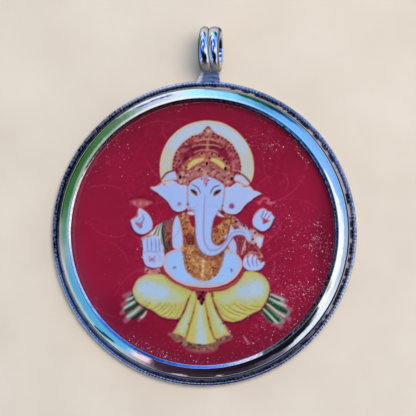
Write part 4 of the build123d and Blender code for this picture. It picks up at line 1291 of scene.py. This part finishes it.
stroke([(0.2, 5.1, 0.1), (0.16, 3.4, 0.17), (0.12, 1.6, 0.2), (0.14, -0.2, 0.2), (0.4, -1.3, 0.2), (0.9, -2.0, 0.2),
        (1.5, -2.12, 0.2), (2.2, -1.9, 0.2), (2.8, -1.3, 0.2), (3.3, -0.6, 0.18), (3.8, 0.1, 0.14), (4.3, 0.4, 0.14),
        (5.0, 0.45, 0.14), (5.6, 0.28, 0.1)], "#A283AC", 0.8, soft=0.1)
stroke([(-0.35, 2.5, 0.2), (-0.3, 0.5, 0.4), (0.0, -1.4, 0.3), (0.8, -2.4, 0.2)], "#A9C8FF", 0.6, soft=0.2,
       inside=trunk)
drawn("trunk")

# %% Trunk edges and tusks
for edge_line in (
    [(-1.35, 2.9, 0.1), (-1.05, 1.6, 0.14), (-0.95, 0.0, 0.14), (-0.65, -1.4, 0.16), (0.0, -2.45, 0.18),
     (0.9, -2.88, 0.18), (1.9, -2.75, 0.18), (2.9, -2.0, 0.18), (3.45, -1.2, 0.14), (3.95, -0.4, 0.12),
     (4.5, -0.08, 0.12), (5.3, -0.1, 0.12), (5.75, -0.6, 0.12)],
    [(1.8, 2.7, 0.1), (1.4, 1.7, 0.14), (1.22, 0.4, 0.14), (1.3, -0.7, 0.16), (1.8, -1.35, 0.16), (2.5, -1.25, 0.16),
     (3.1, -0.5, 0.14), (3.45, 0.5, 0.1)],
):
    stroke(edge_line, "#6C3A52", 0.6, soft=0.09)
fill([(-2.2, 2.75), (-1.7, 2.95), (-1.1, 2.85), (-1.0, 2.5), (-1.6, 2.4)], "#C2C8E6", rim="#8C7898", reach=0.14,
     soft=0.08)
fill([(1.8, 2.85), (2.3, 2.75), (2.85, 2.3), (2.4, 2.3), (1.9, 2.5)], "#CFCBDC", rim="#9C84A0", reach=0.12,
     soft=0.08)
stroke([(1.95, 3.15, 0.12), (2.4, 2.9, 0.22), (2.95, 2.5, 0.14)], "#4E1E34", 0.85, soft=0.08)
stroke([(-1.15, 3.05, 0.1), (-1.6, 3.1, 0.16), (-2.1, 2.95, 0.1)], "#8A6488", 0.7, soft=0.08)
for px, py, wide, tone in ((-2.05, 3.85, 0.5, "#5A2A44"), (-2.0, 3.4, 0.46, "#CAD0EC"),
                           (-1.72, 3.12, 0.36, "#7A3450"), (-2.2, 2.9, 0.46, "#6A1C30"),
                           (2.5, 3.75, 0.46, "#5A2A48"), (2.62, 3.32, 0.4, "#C8CCE8"), (2.7, 2.95, 0.36, "#6A1C30"),
                           (-2.5, 2.65, 0.4, "#C9B0A8"), (3.0, 2.6, 0.4, "#B89098")):
    blot(px, py, wide, wide, tone, 0.85)
drawn("trunk edges and tusks")

# %% [markdown]
# The eyes are small and slant inwards, each with a thin brow, a dark lid and a pale line below, and a mark stands on
# the forehead. Both eyes are one set of strokes, mirrored.

# %% Eyes and forehead
mark = fill([(-0.15, 7.25), (0.2, 7.35), (0.55, 7.25), (0.5, 6.6), (0.28, 6.15), (0.0, 6.6)], "#B88AA6",
            rim="#B49CC4", reach=0.15, soft=0.12)
mottle(mark, 0.24, "#8C4A6A", 0.7, 0.35, seed=39)
dots([(0.62, 7.0), (-0.3, 7.2)], 0.34, "#8A3458", 0.8)
# lines as x outwards from the eye's middle, y and width, with colour, cover and softness
UPPER_LINES = (
    ([(0.4, 6.42, 0.08), (-0.1, 6.22, 0.15), (-0.5, 5.85, 0.16), (-0.74, 5.3, 0.08)], "#4E3060", 0.85, 0.08),
    ([(0.3, 6.14, 0.08), (-0.2, 5.98, 0.14), (-0.5, 5.5, 0.14), (-0.42, 4.95, 0.08)], "#D0BEC0", 0.8, 0.08),
    ([(0.55, 5.78, 0.16), (0.3, 5.62, 0.42), (-0.05, 5.38, 0.44), (-0.28, 5.08, 0.14)], "#4A1C34", 0.92, 0.09),
)
LOWER_LINES = (
    ([(0.4, 5.44, 0.08), (0.05, 5.14, 0.14), (-0.2, 4.94, 0.12)], "#B07A5C", 0.85, 0.08),
    ([(0.6, 5.3, 0.08), (0.2, 4.96, 0.12), (-0.15, 4.78, 0.08)], "#D6C6BE", 0.7, 0.08),
)
for side, cx in ((-1, -1.15), (1, 1.65)):
    for line, tone, cover, soft in UPPER_LINES:
        stroke([(cx + side * px, py, w) for px, py, w in line], tone, cover, soft=soft)
    blot(cx + side * 0.5, 5.76, 0.34, 0.3, "#1E0C1C", 0.9)
    blot(cx + side * 0.08, 5.46, 0.5, 0.46, "#160810", 0.95)
    for line, tone, cover, soft in LOWER_LINES:
        stroke([(cx + side * px, py, w) for px, py, w in line], tone, cover, soft=soft)
drawn("eyes and forehead")

# %% [markdown]
# The folded legs are two cushions of yellow cloth with wide pale highlights. The folds are fine lines that fan out
# along the lower edge of each.

# %% Folded legs
# side, outline, highlights (x, y, width, height, turn, colour, cover) and fold lines
CLOTH = "#BCC274"
LEGS = (
    (-1, [(-5.4, -5.35), (-7.1, -5.45), (-7.8, -5.8), (-8.3, -6.2), (-8.6, -6.7), (-8.85, -7.4), (-8.85, -8.0),
          (-8.6, -8.45), (-8.3, -8.9), (-7.9, -9.3), (-7.3, -9.6), (-6.6, -9.9), (-6.0, -10.2), (-5.4, -10.7),
          (-4.6, -11.0), (-3.7, -11.15), (-2.9, -11.1), (-2.5, -10.9), (-2.2, -10.2), (-1.9, -9.2), (-1.4, -8.3),
          (-1.1, -7.5), (-2.6, -6.85), (-3.5, -6.45), (-4.3, -5.95), (-4.9, -5.5)],
     ((-6.0, -7.65, 7.9, 4.6, -12, "#B0CCD8", 0.95), (-3.3, -8.35, 4.0, 2.4, -20, "#B2C6AC", 0.9),
      (-7.1, -7.25, 3.8, 3.1, -12, "#A8CAF0", 1.0), (-5.1, -7.75, 3.2, 2.6, -20, "#A8CAEE", 1.0)),
     ([(-6.6, -9.1), (-6.75, -9.45), (-7.1, -9.6)], [(-5.2, -9.1), (-5.6, -9.6), (-6.15, -9.9)],
      [(-4.0, -9.1), (-4.4, -9.75), (-5.1, -10.25)], [(-3.75, -9.5), (-4.1, -10.2), (-4.85, -10.65)],
      [(-3.2, -9.2), (-3.45, -10.1), (-4.1, -10.85)], [(-2.5, -9.2), (-2.7, -10.2), (-3.2, -10.95)],
      [(-4.5, -9.2), (-4.95, -9.75), (-5.5, -10.1)])),
    (1, [(5.7, -4.75), (6.6, -4.65), (7.5, -4.85), (8.2, -5.3), (8.7, -5.9), (8.95, -6.6), (8.95, -7.3), (8.8, -7.9),
         (8.5, -8.5), (8.2, -9.1), (7.8, -9.6), (7.2, -9.9), (6.6, -10.2), (5.9, -10.7), (5.2, -11.1), (4.3, -11.25),
         (3.5, -11.15), (3.0, -11.0), (2.6, -10.4), (2.2, -9.5), (1.7, -8.5), (1.3, -7.6), (3.0, -7.2), (4.0, -6.7),
         (4.8, -6.1), (5.3, -5.4)],
     ((6.3, -7.2, 6.7, 4.5, 12, "#AEC6CC", 0.95), (3.5, -8.35, 4.0, 2.2, 20, "#B2C6AC", 0.9),
      (7.25, -6.85, 3.5, 3.6, 0, "#ACCCEA", 1.0), (5.6, -7.35, 3.3, 2.4, 15, "#ACC8E2", 0.95)),
     ([(4.35, -8.9), (5.4, -9.6), (6.7, -9.8)], [(3.4, -9.1), (4.5, -9.85), (5.9, -10.2)],
      [(2.6, -9.1), (3.8, -10.0), (5.2, -10.5)], [(2.4, -9.7), (3.2, -10.5), (4.4, -11.0)],
      [(5.2, -9.0), (6.2, -9.5), (7.3, -9.6)], [(6.6, -9.0), (7.2, -9.25), (7.8, -9.2)])),
)
for side, points, shine, folds in LEGS:
    knee = fill(points, CLOTH, rim="#AE9668", reach=0.3, soft=0.09)
    mottle(knee, 0.6, "#B0AC58", 0.45, 0.4, seed=40 + side)
    for px, py, wide, tall, turn, tone, cover in shine:
        blot(px, py, wide, tall, tone, cover, turn=turn, edge=0.85, inside=knee)
    for fold in folds:
        line = [(px, py, w) for (px, py), w in zip(fold, (0.08, 0.2, 0.12))]
        stroke(line, "#8A7A3C", 0.75, soft=0.12, inside=knee)
        stroke([(px + 0.06 * side, py - 0.2, w * 0.9) for px, py, w in line], "#D4D68C", 0.65, soft=0.12,
               inside=knee)
    rng = np.random.default_rng(44)
    low, high = np.min(points, 0), np.max(points, 0)
    for px, py in rng.uniform(low + 0.6, high - 0.6, (26, 2)):
        blot(px, py, 0.26, 0.26, "#8C8450", rng.uniform(0.2, 0.55), inside=knee)
drawn("folded legs")

# %% Leg lines
stroke([(-8.95, -7.6, 0.12), (-8.5, -8.95, 0.18), (-7.2, -9.82, 0.18), (-5.9, -10.5, 0.18), (-4.4, -11.25, 0.2),
        (-2.8, -11.3, 0.14)], "#3E1A24", 0.6, soft=0.12)
stroke([(9.05, -7.0, 0.1), (8.6, -8.7, 0.16), (7.45, -10.05, 0.2), (6.0, -10.85, 0.2), (4.5, -11.42, 0.2),
        (3.0, -11.3, 0.16)], "#3E1A24", 0.6, soft=0.12)
stroke([(-8.8, -7.4, 0.08), (-8.2, -6.15, 0.12), (-7.1, -5.5, 0.12), (-5.6, -5.35, 0.12)], "#C8A68A", 0.6, soft=0.12)
stroke([(5.7, -4.8, 0.1), (7.0, -4.75, 0.12), (8.2, -5.35, 0.12), (8.85, -6.5, 0.1)], "#C8AE8A", 0.6, soft=0.12)
drawn("leg lines")

# %% [markdown]
# The cloth's end falls in pleats between the legs, over a hem of dark mottled trimming. Each pleat is a narrow leaf
# with its own shine.

# %% Hem
hem = fill([(-4.1, -13.0), (-3.0, -13.0), (-1.6, -13.3), (0.3, -14.0), (2.2, -13.4), (3.6, -12.9), (4.3, -13.1),
            (3.9, -13.7), (2.9, -14.1), (2.3, -14.9), (1.0, -15.2), (-0.6, -15.25), (-1.7, -14.9), (-2.4, -14.3),
            (-3.4, -13.8)], "#806050", rim="#9A5C60", reach=0.4, soft=0.22, cover=0.9)
mottle(hem, 0.34, "#A88C74", 0.6, 0.35, seed=45)
mottle(hem, 0.3, "#4A2A2C", 0.65, 0.3, seed=46)
stroke([(-1.5, -15.0, 0.3), (0.2, -15.25, 0.36), (1.9, -15.05, 0.3)], "#A25A68", 0.6, soft=0.2)
drawn("hem")

# %% Front pleats
for points in (
    [(-1.2, -7.6), (-1.9, -9.8), (-2.5, -11.0), (-3.15, -12.4), (-3.45, -12.95), (-2.6, -13.15), (-1.8, -13.4),
     (-1.1, -11.0), (-0.5, -8.0)],
    [(1.2, -7.6), (2.1, -10.0), (2.85, -11.1), (3.6, -12.3), (4.0, -12.9), (3.2, -13.1), (2.05, -13.4), (1.2, -11.0),
     (0.6, -8.4)],
):
    fill(points, "#B8BE74", rim="#B09870", reach=0.24, soft=0.09)
stroke([(-1.35, -9.5, 0.2), (-1.9, -11.4, 0.7), (-2.4, -12.5, 0.8)], "#B2CABC", 0.85, soft=0.3)
stroke([(1.6, -9.5, 0.2), (2.35, -11.4, 0.7), (2.9, -12.4, 0.8)], "#B2C8BC", 0.85, soft=0.3)
middle_pleat = fill([(-0.55, -8.0), (-0.75, -9.5), (-1.05, -11.0), (-1.45, -12.6), (-1.75, -13.7), (-1.3, -14.05),
                     (-0.5, -14.28), (0.7, -14.34), (1.7, -14.12), (2.15, -13.8), (1.6, -12.6), (1.15, -11.2),
                     (0.85, -9.8), (0.5, -8.6)], "#BEC070", rim="#B0A05C", reach=0.24, soft=0.09)
stroke([(0.05, -9.4, 0.3), (0.05, -10.8, 0.7), (0.12, -12.2, 1.1), (0.25, -13.5, 1.5), (0.3, -14.1, 1.5)], "#AECCE0",
       0.9, soft=0.35, inside=middle_pleat)
drawn("front pleats")

# %% Pleat lines
for line in ([(-0.6, -8.9, 0.1), (-0.95, -10.6, 0.2), (-1.4, -12.2, 0.26), (-1.75, -13.7, 0.2)],
             [(0.65, -9.0, 0.1), (1.05, -10.8, 0.2), (1.45, -12.2, 0.26), (1.95, -13.6, 0.22)]):
    stroke(line, "#94803E", 0.8, soft=0.12)
stroke([(-1.3, -8.0, 0.1), (-1.6, -8.7, 0.18), (-2.2, -10.2, 0.2), (-2.65, -11.1, 0.14)], "#7C5E34", 0.8, soft=0.1)
stroke([(1.5, -8.0, 0.1), (2.0, -9.5, 0.18), (2.5, -10.6, 0.18), (2.95, -11.2, 0.14)], "#7C6A38", 0.8, soft=0.1)
for px, py, tall in ((-1.62, -8.6, 0.7), (-2.15, -10.1, 0.8), (2.05, -9.6, 0.7), (1.1, -10.95, 0.6),
                     (1.42, -12.15, 0.6), (-0.85, -10.2, 0.4), (-1.4, -11.7, 0.4), (-2.55, -11.0, 0.5),
                     (2.9, -11.2, 0.5)):
    blot(px, py, 0.3, tall, "#402414", 0.85, turn=-14 if px < 0 else 16)
for px, py in ((-0.95, -13.2), (-0.3, -12.6), (2.7, -11.7), (2.2, -12.9), (-2.7, -12.4), (1.2, -13.6), (3.0, -13.4),
               (-1.5, -12.6)):
    blot(px, py, 0.3, 0.3, "#8C8450", 0.6)
stroke([(-3.5, -12.9, 0.08), (-3.1, -12.3, 0.12), (-2.6, -11.3, 0.1)], "#C89C8C", 0.7, soft=0.1)
stroke([(4.05, -12.95, 0.1), (3.5, -12.0, 0.12), (3.0, -11.3, 0.1)], "#C89C8C", 0.7, soft=0.1)
for px, py in ((-2.4, -14.25), (2.7, -14.5), (0.0, -14.45), (3.1, -11.5), (-2.9, -11.4)):
    blot(px, py, 0.8, 0.55, "#2E1420", 0.75)
drawn("pleat lines")

# %% [markdown]
# The belt is tied at the front in a small dark red knot, which is a cluster of dots.

# %% Knot
knot = fill([(-0.75, -7.35), (0.2, -7.3), (1.0, -7.35), (0.75, -8.0), (0.6, -8.7), (0.2, -9.2), (-0.15, -8.8),
             (-0.5, -8.1)], "#7E1C38", rim="#A06A5C", reach=0.2, soft=0.14)
mottle(knot, 0.3, "#A84E5E", 0.6, 0.3, seed=47)
dots([(-0.25, -8.4), (0.4, -8.5), (0.2, -9.0), (0.05, -8.1), (0.3, -7.6)], 0.6, "#2E0A1C", 0.9)
dots([(1.5, -7.7), (1.55, -8.0)], 0.5, "#6A2A28", 0.8)
drawn("knot")

# %% [markdown]
# The painted canvas is the card's upper face. Its points outside the disc are drawn in to the edge, the card's side
# goes straight down, and the inks are a colour at each point. A real print lies a little uneven, so the paper's grain
# is a small procedural pattern over it.

# %% Card shape
columns, rows = len(lines_x), len(lines_y)
far = np.hypot(*canvas.T)
drawn_in = far > PICTURE_RADIUS - 0.05
flat_place = canvas * np.where(drawn_in, PICTURE_RADIUS / far, 1)[:, None]
r, c = np.meshgrid(np.arange(rows - 1), np.arange(columns - 1), indexing="ij")
quads = np.stack([r * columns + c, r * columns + c + 1, (r + 1) * columns + c + 1, (r + 1) * columns + c],
                 -1).reshape(-1, 4)
quads = quads[~drawn_in[quads].all(1)]
used, quads = np.unique(quads, return_inverse=True)
quads = quads.reshape(-1, 4)
top = np.column_stack([flat_place[used], np.full(len(used), PICTURE_TOP)])
rim_points = np.nonzero(drawn_in[used])[0]
rim_points = rim_points[np.argsort(np.arctan2(top[rim_points, 1], top[rim_points, 0]))]
count = len(rim_points)
foot = top[rim_points] * (1, 1, 0) + (0, 0, PICTURE_BOTTOM)
step = np.arange(count)
after = (step + 1) % count
low = len(top) + step
sides = np.column_stack([rim_points, low, low[after], rim_points[after]])
underside = np.column_stack([low[after], low, np.full(count, len(top) + count)])
points = np.vstack([top, foot, (0, 0, PICTURE_BOTTOM)]) * MM

# %% Printed card
card_mesh = bpy.data.meshes.new("printed_card")
card_mesh.from_pydata(points.tolist(), [], quads.tolist() + sides.tolist() + underside.tolist())
card_mesh.update()
card = bpy.data.objects.new("printed_card", card_mesh)
bpy.context.scene.collection.objects.link(card)
CARD_EDGE = "#CFC6B8"
shade = np.full((len(points), 3), hex_rgb(CARD_EDGE))
shade[:len(used)] = ink[used]
layer = card_mesh.color_attributes.new("ink", "FLOAT_COLOR", "POINT")
layer.data.foreach_set("color", np.column_stack([to_linear(shade), np.ones(len(shade))]).ravel())
print("printed_card:", len(points), "points,", len(card_mesh.polygons), "faces")

# %% Inks on card
# uncoated card, so the ink is nearly matt; the grain of its fibres is 0.2 mm wide
card_material, tree = material("printed_card")
at = node(tree, "ShaderNodeTexCoord").outputs["Object"]
inks = node(tree, "ShaderNodeVertexColor", {"layer_name": "ink"}).outputs["Color"]
grain = node(tree, "ShaderNodeTexNoise", Vector=at, Scale=5200.0, Detail=2.0).outputs["Fac"]
grain_light = ramp(tree, grain, [(0.25, 0.86), (0.75, 1.0)])
printed = node(tree, "ShaderNodeMix", {"data_type": "RGBA", "blend_type": "MULTIPLY"}, Factor=0.45, n6=inks,
               n7=grain_light)
paper = node(tree, "ShaderNodeBsdfPrincipled", Base_Color=printed.outputs[2], Roughness=0.6)
paper.inputs["Specular IOR Level"].default_value = 0.04
node(tree, "ShaderNodeOutputMaterial", Surface=paper.outputs[0])
dress(card, card_material, replaces="picture_disc", slot="printed_card")

# %% [markdown]
# The dome is a clear cast layer with a round shoulder under the lip and a crown that rises by a quarter of a
# millimetre. It is nearly flat, so the picture shows through it undistorted. It lets light through as glass does in a
# window: part of it passes straight, and a few percent, more at a low angle, is mirrored.

# %% Dome shape
shoulder = PICTURE_RADIUS - SHOULDER_RADIUS
t = np.linspace(0, np.pi / 2, 14)
crown_ball = (shoulder**2 + CROWN_RISE**2) / (2 * CROWN_RISE)
inward = shoulder * np.linspace(0.985, 0.04, 22)
crown_line = DOME_SIDE_TOP + SHOULDER_RADIUS + CROWN_RISE - crown_ball + np.sqrt(crown_ball**2 - inward**2)
dome_profile = np.vstack([[(8.0, DOME_BOTTOM), (16.5, DOME_BOTTOM), (PICTURE_RADIUS - 0.02, DOME_BOTTOM)],
                          np.column_stack([shoulder + SHOULDER_RADIUS * np.cos(t),
                                           DOME_SIDE_TOP + SHOULDER_RADIUS * np.sin(t)]),
                          np.column_stack([inward, crown_line])])
dome_top = DOME_SIDE_TOP + SHOULDER_RADIUS + CROWN_RISE
clear = skin("clear_layer", turned(dome_profile, 240), wrap_columns=True, start_pole=(0, 0, DOME_BOTTOM),
             end_pole=(0, 0, dome_top))

# %% Clear resin
# cast and glossy, with an IOR of 1.45 and waves 4 mm apart
clear_material, tree = material("clear_resin")
at = node(tree, "ShaderNodeTexCoord").outputs["Object"]
waves = node(tree, "ShaderNodeTexNoise", Vector=at, Scale=260.0, Detail=1.0).outputs["Fac"]
dent = node(tree, "ShaderNodeBump", Strength=0.02, Distance=0.0001, Height=waves).outputs[0]
through = node(tree, "ShaderNodeBsdfTransparent", Color=linear("#FAF8F7"))
mirror = node(tree, "ShaderNodeBsdfGlossy", Color=linear("#FFFFFF"), Roughness=0.03, Normal=dent)
gloss = node(tree, "ShaderNodeFresnel", IOR=1.45, Normal=dent).outputs[0]
# only the outside mirrors, because light leaves the thin layer through its face without turning back
inside_face = node(tree, "ShaderNodeNewGeometry").outputs["Backfacing"]
outer_face = node(tree, "ShaderNodeMath", {"operation": "SUBTRACT"}, n0=1.0, n1=inside_face).outputs[0]
share = node(tree, "ShaderNodeMath", {"operation": "MULTIPLY"}, n0=gloss, n1=outer_face).outputs[0]
both = node(tree, "ShaderNodeMixShader", n0=share, n1=through.outputs[0], n2=mirror.outputs[0])
node(tree, "ShaderNodeOutputMaterial", Surface=both.outputs[0])
dress(clear, clear_material, replaces="clear_dome", slot="clear_resin")

# %% [markdown]
# Specks of pale dust and glitter were trapped between the print and the clear layer, most of them at the right and
# lower right. Each is a small flat flake with six corners.

# %% Places of the specks
# patches as x from, x to, y from, y to and number; sectors beside the rim as bearing from, to and number
rng = np.random.default_rng(17)
boxes = [(5.6, 10.4, 10.2, 13.0, 75), (12.6, 17.0, -4.0, 2.4, 170), (8.6, 16.4, -9.4, -5.0, 260),
         (-8.6, -2.0, -17.0, -14.6, 60), (8.0, 14.5, -5.5, 4.5, 90), (6.0, 14.0, -14.5, -8.0, 90),
         (-16.0, 16.0, -16.0, 16.0, 150), (2.5, 9.5, -15.5, -12.0, 36), (-14.5, -9.0, 6.0, 13.0, 26)]
near_rim = [(33, 50, 60), (235, 262, 60), (338, 357, 60), (97, 160, 36), (262, 300, 24), (60, 90, 14)]
middles = [rng.normal(((x0 + x1) / 2, (y0 + y1) / 2), ((x1 - x0) / 4, (y1 - y0) / 4), (n, 2))
           for x0, x1, y0, y1, n in boxes]
for start, end, n in near_rim:
    turn, far = np.radians(rng.uniform(start, end, n)), rng.uniform(16.1, 17.1, n)
    middles.append(np.stack([far * np.cos(turn), far * np.sin(turn)], 1))
middles = np.vstack(middles)
middles = middles[np.hypot(*middles.T) < OPENING_RADIUS - 0.1]
print("specks:", len(middles))

# %% Trapped specks
# a speck's radius is 0.024 to 0.074 mm, and most are small: the fourth power of a random share
size = 0.024 + 0.05 * rng.random(len(middles)) ** 4
corner = np.linspace(0, 2 * np.pi, 6, endpoint=False)
reach = size[:, None] * rng.uniform(0.6, 1.25, (len(middles), 6))
ring_x = middles[:, :1] + reach * np.cos(corner)
ring_y = middles[:, 1:] + reach * np.sin(corner)
lowered = np.stack([ring_x, ring_y, np.full_like(ring_x, PICTURE_TOP + 0.004)], -1)
raised = np.stack([middles[:, :1] + 0.6 * (ring_x - middles[:, :1]),
                   middles[:, 1:] + 0.6 * (ring_y - middles[:, 1:]),
                   np.full_like(ring_x, PICTURE_TOP + 0.02)], -1)
corners = np.concatenate([lowered, raised], 1).reshape(-1, 3) * MM
base = 12 * np.arange(len(middles))[:, None]
lid = base + np.arange(6, 12)
bottom = base + np.arange(5, -1, -1)
k = np.arange(6)
flanks = (base[:, :, None] + np.stack([k, (k + 1) % 6, (k + 1) % 6 + 6, k + 6], -1)).reshape(-1, 4)
specks_mesh = bpy.data.meshes.new("trapped_specks")
specks_mesh.from_pydata(corners.tolist(), [], lid.tolist() + bottom.tolist() + flanks.tolist())
specks_mesh.update()
specks = bpy.data.objects.new("trapped_specks", specks_mesh)
bpy.context.scene.collection.objects.link(specks)

# %% Pale glitter
speck_material, tree = material("pale_specks")
at = node(tree, "ShaderNodeTexCoord").outputs["Object"]
vary = node(tree, "ShaderNodeTexNoise", Vector=at, Scale=1500.0).outputs["Fac"]
speck_tint = ramp(tree, vary, [(0.35, "#A890C0"), (0.5, "#CCC8F0"), (0.65, "#F4FAFF")])
flake = node(tree, "ShaderNodeBsdfPrincipled", Base_Color=speck_tint, Roughness=0.5)
node(tree, "ShaderNodeOutputMaterial", Surface=flake.outputs[0])
dress(specks, speck_material, slot="printed_card")
